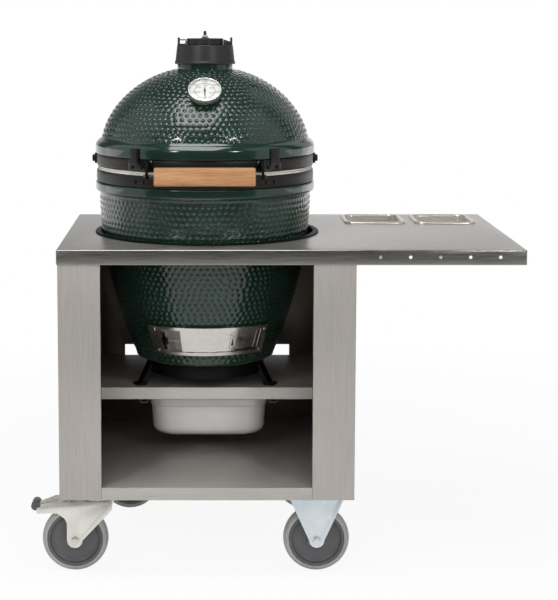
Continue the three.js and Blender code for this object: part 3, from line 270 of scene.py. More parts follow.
def copied(node):
    """A merged copy of a solid, with its flat faces whole again."""
    mesh = bmesh.new()
    mesh.from_mesh(frame["nodes"][node].data)
    bmesh.ops.remove_doubles(mesh, verts=mesh.verts, dist=weld_gap)
    bmesh.ops.dissolve_limit(mesh, angle_limit=flat_limit, verts=mesh.verts, edges=mesh.edges)
    return kept(node + "_dressed", mesh)


def softened(node, width=fold_round, segments=2):
    """A copy of a solid with its sharp edges rounded."""
    return rounded(copied(node), width, segments)


def dressed(node, material, width=fold_round, segments=2):
    return fitted(softened(node, width, segments), node, material)


def painted(piece, first, second, test):
    """Gives a piece its first material, and the second to the faces that pass a test."""
    piece.data.materials.clear()
    piece.data.materials.append(first)
    piece.data.materials.append(second)
    for face in piece.data.polygons:
        face.material_index = 1 if test(face) else 0
    return piece


def two_faced(piece, rest, chosen, way=(0, 0, 1), level=0.7):
    """One finish on the faces that look one way, which is up at first, and another on all
    the rest."""
    return painted(piece, chosen, rest, lambda face: face.normal.dot(Vector(way)) <= level)


side_steel = brushed_steel("side_steel", (0.545, 0.512, 0.485), "Z", 0.60, 0.9, 0.5)
inner_steel = brushed_steel("inner_steel", (0.42, 0.385, 0.34), "X", 0.36, 0.7)
# Their inward faces take a much darker copy of the same steel, which paints the shade inside the cabinet
# on them.
shade_painted_wall_steel = brushed_steel("shade_painted_wall_steel", (0.20, 0.185, 0.165), "Z", 0.40, 0.7)
for node, inwards in (("side_panel_left", 1), ("side_panel_right", -1)):
    fitted(two_faced(softened(node), side_steel, shade_painted_wall_steel, (inwards, 0, 0)), node)


# Back panel, shelves and pan rails: the same sheet, seen in the shade of the cabinet, and that shade is
# painted into their colours: the back panel and rails take a darker copy of the steel. The lower shelf
# carries two channels for the casters.
face_steel = brushed_steel("face_steel", (0.50, 0.475, 0.45), "X", 0.44, 0.6, 0.45)
light_painted_shelf_steel = brushed_steel("light_painted_shelf_steel", (0.68, 0.655, 0.615), "X", 0.44, 0.6, 0.2)
shade_painted_shelf_top_steel = brushed_steel("shade_painted_shelf_top_steel", (0.50, 0.465, 0.415), "X", 0.46, 0.6, 0.55)
shaded_steel = brushed_steel("shaded_steel", (0.52, 0.50, 0.475), "X", 0.42, 0.7, 0.75)
for node in ("back_panel", "pan_rail_left", "pan_rail_right"):
    dressed(node, inner_steel)
# The middle shelf's top takes a darker copy of the steel, a painted shade under the worktop, and its front
# faces a lighter copy, which is painted light.
for node, edges, top in (
    ("middle_shelf", light_painted_shelf_steel, shade_painted_shelf_top_steel), ("bottom_shelf", face_steel, shaded_steel),
):
    fitted(two_faced(softened(node), edges, top), node)


# Worktop: one sheet brushed along its length and folded down all round, with a round cut-out
# for the kamado, two openings for pans and five small holes in its skirt. Its edges are
# broken, so they catch the light.
sheet = 0.002
fold_outside = 0.0026
edge_break = 0.0004
cut_sides = 160
cut_inset = 0.011
pan_rim = 0.012
hook_holes = 5
hook_hole_radius = 0.004
hook_hole_pitch = 0.070
hook_hole_end = 0.062
hook_hole_drop = 0.017
overrun = 0.004


def spanned(node):
    """Low corner, high corner and middle of a node."""
    low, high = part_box(node)
    return low, high, (low + high) / 2


def half_width(node):
    low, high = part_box(node)
    return (high.x - low.x) / 2


def block(name, low, high):
    mesh = bmesh.new()
    bmesh.ops.create_cube(mesh, size=1)
    middle = (Vector(low) + Vector(high)) / 2
    size = Vector(high) - Vector(low)
    for vert in mesh.verts:
        vert.co = middle + Vector(a * b for a, b in zip(vert.co, size))
    return kept(name, mesh)


def round_bar(name, start, end, radius, sides=32):
    """Round bar between two points."""
    turn = (end - start).to_track_quat("Z", "Y").to_matrix().to_4x4()
    mesh = bmesh.new()
    bmesh.ops.create_cone(
        mesh, cap_ends=True, segments=sides, radius1=radius, radius2=radius,
        depth=(end - start).length, matrix=Matrix.Translation((start + end) / 2) @ turn,
    )
    return kept(name, mesh)


def bar_along(letter, name, middle, start, end, radius, sides=32):
    """Round bar through a point along one axis, from one coordinate to another."""
    ends = [Vector(middle), Vector(middle)]
    setattr(ends[0], letter, start)
    setattr(ends[1], letter, end)
    return round_bar(name, *ends, radius, sides)


def carved(piece, cutters, operation="DIFFERENCE"):
    """Cuts other bodies out of a piece, or joins them to it, and removes them."""
    for cutter in cutters:
        cut = piece.modifiers.new("cut", "BOOLEAN")
        cut.operation = operation
        cut.solver = "EXACT"
        cut.object = cutter
    baked(piece)
    for cutter in cutters:
        bpy.data.objects.remove(cutter)
    return piece


def rounded_loop(middle, z, width, length, corner, steps=8):
    """Points of a rounded rectangle round a middle, at one height."""
    place = Vector((middle.x, middle.y, z))
    loop = []
    for quarter, (side_x, side_y) in enumerate(((1, 1), (-1, 1), (-1, -1), (1, -1))):
        for i in range(steps + 1):
            angle = (quarter + i / steps) * math.pi / 2
            loop.append(place + Vector((
                side_x * (width / 2 - corner) + corner * math.cos(angle),
                side_y * (length / 2 - corner) + corner * math.sin(angle), 0,
            )))
    return loop


def skinned(mesh, rows, closed=False):
    """Faces between rows of points, where a row at a pole is one point repeated."""
    for lower, upper in zip(rows, rows[1:] + rows[:1] if closed else rows[1:]):
        if lower[0] is lower[1] and upper[0] is upper[1]:
            continue
        for i in range(len(lower)):
            j = (i + 1) % len(lower)
            mesh.faces.new(list(dict.fromkeys((lower[i], lower[j], upper[j], upper[i]))))


def lofted(name, *bodies):
    """Skin through loops of equal length, capped at both ends, for one or more bodies of
    such loops."""
    mesh = bmesh.new()
    for loops in bodies:
        rows = [[mesh.verts.new(point) for point in loop] for loop in loops]
        skinned(mesh, rows)
        mesh.faces.new(reversed(rows[0]))
        mesh.faces.new(rows[-1])
    bmesh.ops.recalc_face_normals(mesh, faces=mesh.faces)
    return kept(name, mesh)


def make_worktop():
    low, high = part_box("worktop")
    top = rounded(block("worktop_dressed", low, high), fold_outside, 4)
    hollow = block("hollow", low + Vector((sheet, sheet, -overrun)), high - Vector((sheet,) * 3))
    centre = spanned("hole_trim_ring")[2]
    hole_radius = half_width("hole_trim_ring") - cut_inset
    cutters = [
        rounded(hollow, fold_outside - sheet, 2),
        bar_along("z", "hole", centre, low.z, high.z + overrun, hole_radius, cut_sides),
    ]
    for pan in ("spice_pan_left", "spice_pan_right"):
        pan_low, pan_high, middle = spanned(pan)
        size = pan_high - pan_low
        cutters.append(lofted("opening", [
            rounded_loop(middle, z, size.x - pan_rim, size.y - pan_rim, pan_rim)
            for z in (low.z, high.z + overrun)
        ]))
    for i in range(hook_holes):
        spot = (high.x - hook_hole_end - i * hook_hole_pitch, low.y, high.z - hook_hole_drop)
        start, end = low.y - overrun, low.y + overrun
        cutters.append(bar_along("y", "hook_hole", spot, start, end, hook_hole_radius, 24))
    return rounded(carved(top, cutters), edge_break, 1, cut_limit)


worktop_steel = brushed_steel("worktop_steel", (0.62, 0.60, 0.575), "X", 0.30, 0.6)
# The skirt and the underside take a darker copy of the worktop's steel, which paints the shade on the
# skirt.
shade_painted_skirt_steel = brushed_steel("shade_painted_skirt_steel", (0.355, 0.343, 0.32), "X", 0.27, 0.6)
fitted(two_faced(make_worktop(), shade_painted_skirt_steel, worktop_steel), "worktop")


# Trim ring: a black moulded flange that covers the edge of the round cut-out, with a lip
# that centres it there.
lathe_sides = 160
hair = 0.0003
flange_width = 0.0138
flange_edge = 0.002
lip_inset = 0.0113
trim_black = new_material("black_trim", colour("#080808"), 0.45, Specular_IOR_Level=0.08)


def filleted(points, radius, steps=3, closed=True):
    """An outline with a small curve in place of each corner."""
    made = []
    for i, point in enumerate(points):
        corner = Vector(point)
        if not closed and i in (0, len(points) - 1):
            made.append(corner)
            continue
        before = Vector(points[i - 1]) - corner
        after = Vector(points[(i + 1) % len(points)]) - corner
        reach = min(radius, before.length * 0.45, after.length * 0.45)
        start = corner + before.normalized() * reach
        end = corner + after.normalized() * reach
        for k in range(steps + 1):
            t = k / steps
            made.append(start * (1 - t) ** 2 + corner * 2 * t * (1 - t) + end * t ** 2)
    return made


def lathed(name, profile, fillet=0, sides=lathe_sides, closed=True, place=None, steps=3):
    """Body of revolution from radius and height pairs, with its corners filleted, round the
    kamado's axis or placed."""
    pole = 1e-6
    if fillet:
        profile = filleted(profile, fillet, steps, closed)
    mesh = bmesh.new()
    rows = []
    for radius, height in profile:
        if radius < pole:
            rows.append([mesh.verts.new((0, 0, height))] * sides)
            continue
        angles = [2 * math.pi * i / sides for i in range(sides)]
        rows.append([mesh.verts.new((radius * math.cos(a), radius * math.sin(a), height)) for a in angles])
    skinned(mesh, rows, closed)
    bmesh.ops.recalc_face_normals(mesh, faces=mesh.faces)
    mesh.transform(place or Matrix.Translation(axis))
    return eased(kept(name, mesh))


def make_trim_ring():
    low, high, centre = spanned("hole_trim_ring")
    centre.z = 0
    outer = half_width("hole_trim_ring")
    inner, lip = outer - flange_width, outer - lip_inset
    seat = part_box("worktop")[1].z + hair
    return lathed("trim_ring", [
        (inner, low.z), (lip, low.z), (lip, seat), (outer, seat), (outer, seat + flange_edge),
        (outer - flange_edge, high.z), (inner, high.z),
    ], 0.0009, place=Matrix.Translation(centre))


fitted(make_trim_ring(), "hole_trim_ring", trim_black)


# Gastronorm pans: deep-drawn satin steel with a rolled rim, round corners and a shoulder
# under the rim on which the next pan stands when they are stacked.
# The waste pan's steel is tinted near white and kept mostly matte, which paints the light it catches under
# the shelf.
pan_steel = brushed_steel("pan_steel", (0.88, 0.855, 0.83), "X", 0.42, 0.3, 0.2, 0.2)
spice_steel = brushed_steel("spice_steel", (0.68, 0.645, 0.595), "X", 0.26, 0.3, 0.65)
pan_wall = 0.0009
rim_height = 0.005
rim_flat = 0.62
rim_inside = 0.0032


def make_pan(node, material, rim, mouth, taper, bend, shoulder_drop, shoulder_step):
    low, high, middle = spanned(node)
    size = high - low
    rim_under = high.z - rim_height
    outer = mouth + rim * 0.1
    shoulder = rim_under - shoulder_drop
    rows = []

    def row(inset, z, corner):
        drawn_in = 2 * (rim + inset)
        rows.append(rounded_loop(middle, z, size.x - drawn_in, size.y - drawn_in, corner))

    def floor_bend(steps, lift, wall):
        for i in steps:
            angle = math.pi / 2 * i / 6
            inset = taper + bend * (1 - math.sin(angle)) + wall
            row(inset, low.z + lift + bend * (1 - math.cos(angle)), mouth + taper)

    row(taper + 2 * bend, low.z + pan_wall * 2, mouth)
    floor_bend(range(7), pan_wall * 2, pan_wall)
    row(shoulder_step + pan_wall, shoulder - shoulder_step, mouth + taper)
    row(pan_wall, shoulder, mouth)
    row(pan_wall - 0.001, rim_under, mouth)
    for i in range(4):
        angle = math.pi / 2 * i / 3
        row(-0.003 * (1 - math.cos(angle)), rim_under + 0.0046 * math.sin(angle), mouth)
    row(-rim * rim_flat, high.z, outer)
    for i in range(1, 6):
        angle = math.pi / 2 * i / 5
        inset = -rim * rim_flat - rim * (1 - rim_flat) * math.sin(angle)
        row(inset, rim_under + rim_height * math.cos(angle), outer)
    row(-rim + 0.0008, rim_under + 0.0001, outer)
    row(-rim * rim_flat, rim_under + rim_inside, outer)
    row(-0.0035, rim_under + rim_inside, mouth)
    row(-pan_wall, rim_under, mouth)
    row(-pan_wall * 0.5, shoulder, mouth)
    row(shoulder_step, shoulder - shoulder_step - pan_wall, mouth + taper)
    floor_bend(range(6, -1, -1), 0, 0)
    row(taper + 2 * bend, low.z, mouth)
    fitted(eased(lofted(node + "_drawn", rows)), node, material)


for node in ("spice_pan_left", "spice_pan_right"):
    make_pan(
        node, spice_steel, rim=0.012, mouth=0.023, taper=0.008, bend=0.008,
        shoulder_drop=0.016, shoulder_step=0.002,
    )
make_pan(
    "waste_pan", pan_steel, rim=0.013, mouth=0.042, taper=0.006, bend=0.026,
    shoulder_drop=0.018, shoulder_step=0.003,
)


# Casters: zinc-plated pressed forks, the left pair on swivel heads and the right pair fixed.
# The wheels have a grey rubber tread bonded to a dark moulded centre.
tread_sides = 96
wheel_radius = 0.080
wheel_width = 0.040
tread_crown = 0.0035
tread_edge = 0.006
tread_inner = 0.0667
hub_half = 0.022
hub_radius = 0.024
hub_bore = 0.007
axle_radius = 0.0062
nut_height = 0.006
nut_radius = 0.0086
washer_thick = 0.0014
fork_round = 0.0009
rib_aside = 0.028
rib_half = 0.0078
rib_relief = 0.0022
rib_bottom, rib_top = 0.132, 0.1945
cheek_gap, cheek_sheet = 0.004, 0.003
pedal_pad = 0.027
across = Matrix.Rotation(math.pi / 2, 4, "X")


def zinc_plated(name, tint, blotch):
    """Zinc plate, with the soft blue and grey clouds of its passivation."""
    material = new_material(name, tint, 0.34, 0.8)
    tree = material.node_tree
    fine = noise_in(tree, 420, 2)
    return dressed_up(material, {
        "Base Color": mottled(tree, noise_in(tree, 22, 5), tint, blotch),
        "Roughness": ranged(tree, fine, 0.27, 0.44),
    }, fine, 0.00003, 0.3)


def moulded(name, code, roughness, grain=900, depth=0.00005, spread=0.12, **inputs):
    """Moulded plastic or rubber, cast iron or paint, with a fine matte skin."""
    tint = colour(code)
    material = new_material(name, tint, roughness, **inputs)
    tree = material.node_tree
    fine = noise_in(tree, grain, 3)
    return dressed_up(material, {
        "Base Color": mottled(tree, noise_in(tree, 14, 4), *shades(tint, spread, spread)),
        "Roughness": ranged(tree, fine, roughness - 0.08, roughness + 0.08),
    }, fine, depth, 0.5)


zinc = zinc_plated("zinc_steel", (0.76, 0.80, 0.81), (0.62, 0.70, 0.75))
zinc_cream = zinc_plated("zinc_cream", (0.84, 0.82, 0.76), (0.72, 0.71, 0.66))
tread_rubber = moulded("tread_rubber", "#9c9c9b", 0.62)
hub_plastic = moulded("hub_plastic", "#5a5a5c", 0.45)
pedal_plastic = moulded("pedal_paint", "#4b4c4e", 0.4)


def make_wheel(corner):
    """Tread and hub, each from one half of its outline and the mirror image of that."""
    middle = spanned("wheel_tread_" + corner)[2]
    middle.z = wheel_radius
    half = wheel_width / 2
    rim = tread_inner - hair
    tread = [
        (tread_inner, half), (wheel_radius - tread_edge, half),
        (wheel_radius - tread_crown * 0.4, half * 0.6), (wheel_radius, half * 0.2),
    ]
    hub = [
        (hub_bore, hub_half), (hub_radius - 0.004, hub_half), (hub_radius, hub_half - 0.003),
        (hub_radius + 0.001, 0.0075), (hub_radius + 0.008, 0.0062), (rim - 0.016, 0.0066),
        (rim - 0.0075, 0.0105), (rim - 0.006, half - 0.0012), (rim - 0.003, half), (rim, half - 0.002),
    ]
    place = Matrix.Translation(middle) @ across
    for part, outline, fillet, steps, material in (
        ("tread_", tread, 0.003, 3, tread_rubber), ("hub_", hub, 0.0012, 2, hub_plastic),
    ):
        outline = [(r, -z) for r, z in outline] + outline[::-1]
        piece = lathed(part + corner, outline, fillet, tread_sides, place=place, steps=steps)
        fitted(piece, "wheel_" + part + corner, material)


def make_axle(corner, material):
    """Bolt through the wheel: washers, a hexagon head in front and a lock nut behind."""
    low, high, middle = spanned("caster_axle_" + corner)
    parts = []
    for side, end in ((-1, low.y), (1, high.y)):
        inner = end - side * nut_height
        edge = side * washer_thick
        head = bar_along("y", "head", middle, inner, end - edge, nut_radius, 6)
        parts += [
            rounded(head, fork_round),
            bar_along("y", "washer", middle, inner, inner + edge, nut_radius + hair),
            bar_along("y", "end", middle, inner, end, nut_radius - 0.004, 20),
        ]
    start, end = low.y + nut_height, high.y - nut_height
    shank = bar_along("y", "axle_" + corner, middle, start, end, axle_radius, 24)
    fitted(joined(shank, parts), "caster_axle_" + corner, material)


def joined(piece, others):
    """Puts several bodies in one mesh, without cutting them."""
    with working(piece) as mesh:
        for part in others:
            mesh.from_mesh(part.data)
    for part in others:
        bpy.data.objects.remove(part)
    return eased(piece)


def pressed_rib(x, face, steps=8):
    """Low round rib pressed out of a cheek, with a shallow foot."""
    loops = []
    for z, swell in ((rib_bottom, 0.02), (rib_bottom + rib_half, 1), (rib_top, 1)):
        turns = [math.pi * i / steps for i in range(steps + 1)]
        loop = [(x + rib_half * math.cos(a), face - rib_relief * swell * math.sin(a), z) for a in turns]
        loops.append(loop + [(x + side * rib_half, face + 0.0015, z) for side in (-1, 1)])
    return lofted("rib", loops)


def make_pedal(corner, finish):
    """Plated arm with a plastic pad on the end that points away from the swivel plate."""
    node = "brake_pedal_" + corner
    low, high, middle = spanned(node)
    tip = low.x if middle.x < spanned("caster_plate_" + corner)[2].x else high.x
    pedal = softened(node, 0.0012)
    painted(pedal, finish, pedal_plastic, lambda face: abs(face.center.x - tip) < pedal_pad)
    fitted(pedal, node)


for corner in ("front_left", "rear_left", "front_right", "rear_right"):
    swivels = "left" in corner
    finish = zinc_cream if swivels else zinc
    make_wheel(corner)
    make_axle(corner, finish)
    fork = softened("caster_fork_" + corner, fork_round)
    if not swivels:
        middle = spanned("wheel_tread_" + corner)[2]
        cheek = middle.y - hub_half - cheek_gap - cheek_sheet
        joined(fork, [pressed_rib(middle.x + side * rib_aside, cheek) for side in (-1, 1)])
    fitted(fork, "caster_fork_" + corner, finish)
    if swivels:
        dressed("caster_plate_" + corner, finish, 0.0008)
        make_pedal(corner, finish)


# Nest: a welded steel ring on three bent flat legs, painted matte black, which lifts the
# kamado off its shelf.
nest_paint = moulded("nest_paint", "#080707", 0.5, 60, 0.00012, 0.05, Specular_IOR_Level=0.2)
dressed("nest_stand", nest_paint, 0.0012, 3)


# Ceramic base and dome: thick fired shells, glazed dark green all over. The skin is covered
# in close-set round bumps, and only the rims and the chimney neck are smooth.
ceramic_sides = 560
row_height = 0.0029
bump_pitch = 0.0150
bump_reach = 1.05 * bump_pitch
bump_radius = 0.0068
bump_relief = 0.0011
bump_fine_relief = 0.0018
bump_scatter = 0.3
settling_rounds = 14
ceramic_wall = 0.027
base_rise = 0.427
base_draw = 0.097
base_draw_power = 1.95
bead_height = 0.026
seat_height = 0.0305
foot_round = 0.014
dome_power = 1.69
dome_round_power = 2.16
dome_rise = 0.1905
dome_rows = 128
shoulder_radius = 0.2617
base_radius = 0.2665
bead_radius = 0.276
seat_radius = 0.270
neck_radius = 0.0695
flue_radius = 0.050
base_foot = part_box("base_ceramic")[0].z
dome_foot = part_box("dome_ceramic")[0].z
dome_shoulder = dome_foot + seat_height + bead_height


def glaze(name, code, thin_code, roughness):
    """Coloured glaze under a clear gloss. The crown of each bump is raised round the middle
    that its faces are marked with, as far as the skin's own mark says."""
    tint = colour(code)
    material = new_material(name, tint, roughness, Coat_Weight=0.5, Coat_Roughness=0.03)
    tree = material.node_tree
    middle = add(tree, "ShaderNodeAttribute", out="Vector", attribute_name="bump_middle")
    mark = add(tree, "ShaderNodeAttribute", out="Fac", attribute_name="bumped")
    gap = add(tree, "ShaderNodeVectorMath", {0: places_in(tree), 1: middle}, "Value", operation="DISTANCE")
    crown = ranged(tree, gap, 1, 0, 0, bump_radius, interpolation_type="SMOOTHSTEP")
    return dressed_up(material, {
        "Base Color": mottled(tree, noise_in(tree, 16, 5), tint, colour(thin_code)),
        "Roughness": ranged(tree, noise_in(tree, 130, 2), roughness - 0.05, roughness + 0.07),
    }, maths(tree, "MULTIPLY", crown, mark), bump_fine_relief)


green_glaze = glaze("green_glaze", "#142820", "#193229", 0.14)


def opened_tree(name, inputs):
    """Geometry tree with named inputs, and the outputs that carry them."""
    tree = bpy.data.node_groups.new(name, "GeometryNodeTree")
    for label, kind in inputs.items():
        tree.interface.new_socket(label, in_out="INPUT", socket_type="NodeSocket" + kind)
    tree.interface.new_socket("Shape", in_out="OUTPUT", socket_type="NodeSocketGeometry")
    return tree, tree.nodes.new("NodeGroupInput").outputs


def closed_tree(tree, shape, finish):
    """Ends a geometry tree with one plain shape in its material."""
    solid = add(tree, "GeometryNodeRealizeInstances", {"Geometry": shape})
    paint = add(tree, "GeometryNodeSetMaterial", {"Geometry": solid, "Material": finish})
    tree.links.new(paint, tree.nodes.new("NodeGroupOutput").inputs[0])
    return tree


def mark_of(tree, name, kind="FLOAT"):
    return add(tree, "GeometryNodeInputNamedAttribute", {"Name": name}, data_type=kind)


def vector_in(tree, **letters):
    return add(tree, "ShaderNodeCombineXYZ", letters)


def joined_shapes(tree, *shapes):
    both = tree.nodes.new("GeometryNodeJoinGeometry")
    for shape in shapes:
        tree.links.new(shape, both.inputs[0])
    return both.outputs[0]


def bumps_tree():
    """Geometry Nodes: draws the skin in between round bumps. Their middles come with the
    shell as loose points, and each face is marked with the middle nearest to it."""
    tree, given = opened_tree("bumps", {
        "Shell": "Geometry", "Bump Radius": "Float", "Relief": "Float", "Glaze": "Material",
    })
    parts = tree.nodes.new("GeometryNodeSeparateGeometry")
    fill(tree, parts, {"Geometry": given["Shell"], "Selection": mark_of(tree, "middle")})
    spots, shell = parts.outputs
    place = add(tree, "GeometryNodeInputPosition")
    nearest = add(tree, "GeometryNodeSampleNearest", {"Geometry": spots, "Sample Position": place})
    middle = add(tree, "GeometryNodeSampleIndex", {
        "Geometry": spots, "Value": place, "Index": nearest,
    }, data_type="FLOAT_VECTOR")
    marked = add(tree, "GeometryNodeStoreNamedAttribute", {
        "Geometry": shell, "Name": "bump_middle", "Value": middle,
    }, data_type="FLOAT_VECTOR", domain="FACE")
    gap = add(tree, "ShaderNodeVectorMath", {0: place, 1: middle}, "Value", operation="DISTANCE")
    depth = ranged(tree, gap, 0, -1, 0, given["Bump Radius"], interpolation_type="SMOOTHSTEP")
    depth = maths(tree, "MULTIPLY", depth, mark_of(tree, "bumped"))
    depth = maths(tree, "MULTIPLY", depth, given["Relief"])
    normal = add(tree, "GeometryNodeInputNormal")
    push = add(tree, "ShaderNodeVectorMath", {0: normal, "Scale": depth}, operation="SCALE")
    moved = add(tree, "GeometryNodeSetPosition", {"Geometry": marked, "Offset": push})
    return closed_tree(tree, moved, given["Glaze"])


def noded(piece, tree, values):
    """Runs a geometry tree with its named inputs and keeps the plain mesh."""
    nodes = piece.modifiers.new("nodes", "NODES")
    nodes.node_group = tree
    for socket in tree.interface.items_tree:
        if socket.in_out == "INPUT" and socket.name in values:
            nodes[socket.identifier] = values[socket.name]
    return baked(piece)


bumps = bumps_tree()


def bump_middles(skin):
    """Middles of the bumps: scattered in rings up the skin, then pushed apart until they
    lie as close and as even as pebbles."""
    loose = random.Random(11)
    heights = [z for r, z in skin]

    def on_skin(x, y, z):
        z = min(heights[-1], max(heights[0], z))
        at = min(len(skin) - 2, max(0, bisect.bisect_left(heights, z) - 1))
        (r, z_before), (r_next, z_next) = skin[at], skin[at + 1]
        radius = r + (r_next - r) * (z - z_before) / (z_next - z_before)
        out = math.hypot(x, y)
        return Vector((x * radius / out, y * radius / out, z))

    spots = []
    walked = 0.0
    due = bump_pitch * 0.43
    for (r, z), (r_next, z_next) in zip(skin, skin[1:]):
        walked += math.hypot(r_next - r, z_next - z)
        if walked < due:
            continue
        due += bump_pitch * 0.866
        count = round(math.tau * r_next / bump_pitch)
        start = loose.random()
        for i in range(count):
            angle = math.tau * (i + start + loose.uniform(-bump_scatter, bump_scatter)) / count
            rise = z_next + loose.uniform(-bump_scatter, bump_scatter) * bump_pitch
            spots.append(on_skin(r_next * math.cos(angle), r_next * math.sin(angle), rise))
    for _ in range(settling_rounds):
        near = kdtree.KDTree(len(spots))
        for i, spot in enumerate(spots):
            near.insert(spot, i)
        near.balance()
        moved = []
        for spot in spots:
            push = Vector()
            for other, _, gap in near.find_range(spot, bump_reach):
                if gap > 0:
                    push += (spot - other) * ((bump_reach - gap) / gap)
            moved.append(on_skin(*(spot + push * 0.3)))
        spots = moved
    return [spot + axis for spot in spots]


def ceramic_shell(name, skin, rest):
    """Lathed shell whose skin, but not the rest of its outline, is marked for bumps. The
    marks fade in over the first and last rows."""
    piece = lathed(name, skin + rest, sides=ceramic_sides)
    low, high = skin[0][1], skin[-1][1]
    fade = 2 * row_height
    radius_at = {}
    marks = []
    for vert in piece.data.vertices:
        z = vert.co.z
        key = round(z, 6)
        if key not in radius_at:
            radius_at[key] = min(skin, key=lambda point: abs(point[1] - z))[0]
        is_skin = low < z < high and (vert.co - axis).xy.length > radius_at[key] - 0.0002
        marks.append(min(1, (z - low) / fade, (high - z) / fade) if is_skin else 0.0)
    spots = bump_middles(skin)
    with working(piece) as mesh:
        for spot in spots:
            mesh.verts.new(spot)
    for mark, values in (
        ("bumped", marks + [0.0] * len(spots)), ("middle", [0.0] * len(marks) + [1.0] * len(spots)),
    ):
        piece.data.attributes.new(mark, "FLOAT", "POINT").data.foreach_set("value", values)
    return noded(piece, bumps, {
        "Bump Radius": bump_radius, "Relief": bump_relief, "Glaze": green_glaze,
    })


def plain_points(outline):
    return [tuple(point) for point in outline]


def base_skin(height):
    """Radius of the base's skin at a height over its foot."""
    return base_radius - base_draw * ((base_rise - height) / base_rise) ** base_draw_power


def make_base():
    foot = base_foot
    neck = foot + base_rise
    bead_top = neck + bead_height
    parting = bead_top + seat_height
    lip = seat_radius - ceramic_wall
    rows = int((base_rise - foot_round) / row_height)
    heights = [foot_round + (base_rise - foot_round) * i / rows for i in range(rows + 1)]
    skin = [(base_skin(h), foot + h) for h in heights]
    inner = [
        (base_skin(h) - ceramic_wall, foot + h) for h in heights[::14] if h > ceramic_wall + foot_round
    ]
    upper = filleted([
        (base_radius, neck), (bead_radius, neck + 0.005), (bead_radius, bead_top),
        (seat_radius, bead_top), (seat_radius, parting), (lip, parting), (lip, neck),
    ], 0.0035, closed=False)
    lower = [
        (0.154 - ceramic_wall / 2, foot + ceramic_wall), (0, foot + ceramic_wall), (0, foot),
        (0.150, foot), (0.1585, foot + 0.0012), (0.1638, foot + 0.0048),
        (base_skin(foot_round) - 0.0012, foot + foot_round * 0.7),
    ]
    return ceramic_shell("base_glazed", skin, plain_points(upper[1:]) + inner[::-1] + lower)


def dome_height(radius, inset=0.0):
    """Height of the dome's skin, or of a surface some way inside it, at a radius."""
    share = (1 - (radius / (shoulder_radius - inset)) ** dome_round_power) ** (1 / dome_power)
    return dome_shoulder + (dome_rise - inset) * share


def dome_radius(z, inset=0.0):
    share = min(1, max(0, (z - dome_shoulder) / (dome_rise - inset)))
    return (shoulder_radius - inset) * (1 - share ** dome_power) ** (1 / dome_round_power)


def dome_rows_to(start, top, rows, inset):
    """Points up the dome, closer together towards its top."""
    heights = [start + (top - start) * math.sin(i / rows * math.pi / 2) for i in range(rows + 1)]
    return [(dome_radius(z, inset), z) for z in heights]


def make_dome():
    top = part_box("dome_ceramic")[1].z
    bead_low = dome_foot + seat_height
    shoulder = dome_shoulder
    lip = seat_radius - ceramic_wall
    neck = dome_height(neck_radius)
    skin = dome_rows_to(shoulder + bead_height / 2, neck, dome_rows, 0)
    inner = dome_rows_to(shoulder, dome_height(flue_radius, ceramic_wall), 12, ceramic_wall)
    crown = filleted([
        (neck_radius, neck), (neck_radius, top), (flue_radius, top), inner[-1],
    ], 0.004, closed=False)
    rim = filleted([
        (lip, shoulder), (lip, dome_foot), (seat_radius, dome_foot), (seat_radius, bead_low),
        (bead_radius, bead_low), (bead_radius, shoulder - bead_height / 8),
        (shoulder_radius + bead_height / 3, shoulder + bead_height / 5), skin[0],
    ], 0.0035, closed=False)
    rest = plain_points(crown[1:]) + inner[::-1][1:] + plain_points(rim[1:-1])
    return ceramic_shell("dome_glazed", skin, rest)


gate_low, gate_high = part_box("draft_frame")
gate_angles = (-26.5, 8)
gate_inset = 0.008
gauge_share = 0.647
stem_hole = 0.006


def gate_wedge(near, inset, steps=12):
    """Block through the ceramic behind the draft door, from a radius outwards."""
    start, end = gate_angles
    far = 0.3
    turns = [math.radians(start + (end - start) * i / steps) for i in range(steps + 1)]
    edge = [(far, turn) for turn in turns] + [(near, turn) for turn in reversed(turns)]
    return lofted("gate", [
        [(axis.x + r * math.sin(turn), axis.y - r * math.cos(turn), z) for r, turn in edge]
        for z in (gate_low.z + inset, gate_high.z - gate_inset)
    ])


def gauge_place():
    """Matrix from the thermometer's own frame, face up, to its seat on the front of the dome."""
    seat = dome_shoulder + gauge_share * dome_rise
    step = dome_rise / 500
    lean = math.atan((dome_radius(seat - step) - dome_radius(seat + step)) / (2 * step))
    turn = Matrix.Rotation(math.pi / 2 - lean, 4, "X")
    return Matrix.Translation((axis.x, axis.y - dome_radius(seat), seat)) @ turn


base = carved(make_base(), [gate_wedge(0.1, gate_inset)])
fitted(eased(base, cut_limit), "base_ceramic", green_glaze)
gauge = gauge_place()
stem_start, stem_end = gauge @ Vector((0, 0, 0.02)), gauge @ Vector((0, 0, -0.06))
dome = carved(make_dome(), [round_bar("stem_hole", stem_start, stem_end, stem_hole, 24)])
fitted(eased(dome, cut_limit), "dome_ceramic", green_glaze)


# Inner ceramics: the fire box stands in the base, with the fire ring on top of it. Both are
# unglazed and buff coloured.
raw_ceramic = moulded("raw_ceramic", "#cdbfa6", 0.88, 260, 0.0003, 0.1)
box_wall = 0.022
box_foot_radius = 0.118
box_round = 0.003
ledge = 0.010


def smooth_ring(node, material, width, fillet):
    """Ring as wide and as tall as its node, with rounded edges."""
    low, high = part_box(node)
    outer = half_width(node)
    inner = outer - width
    corners = [(inner, low.z), (outer, low.z), (outer, high.z), (inner, high.z)]
    fitted(lathed(node + "_turned", corners, fillet), node, material)


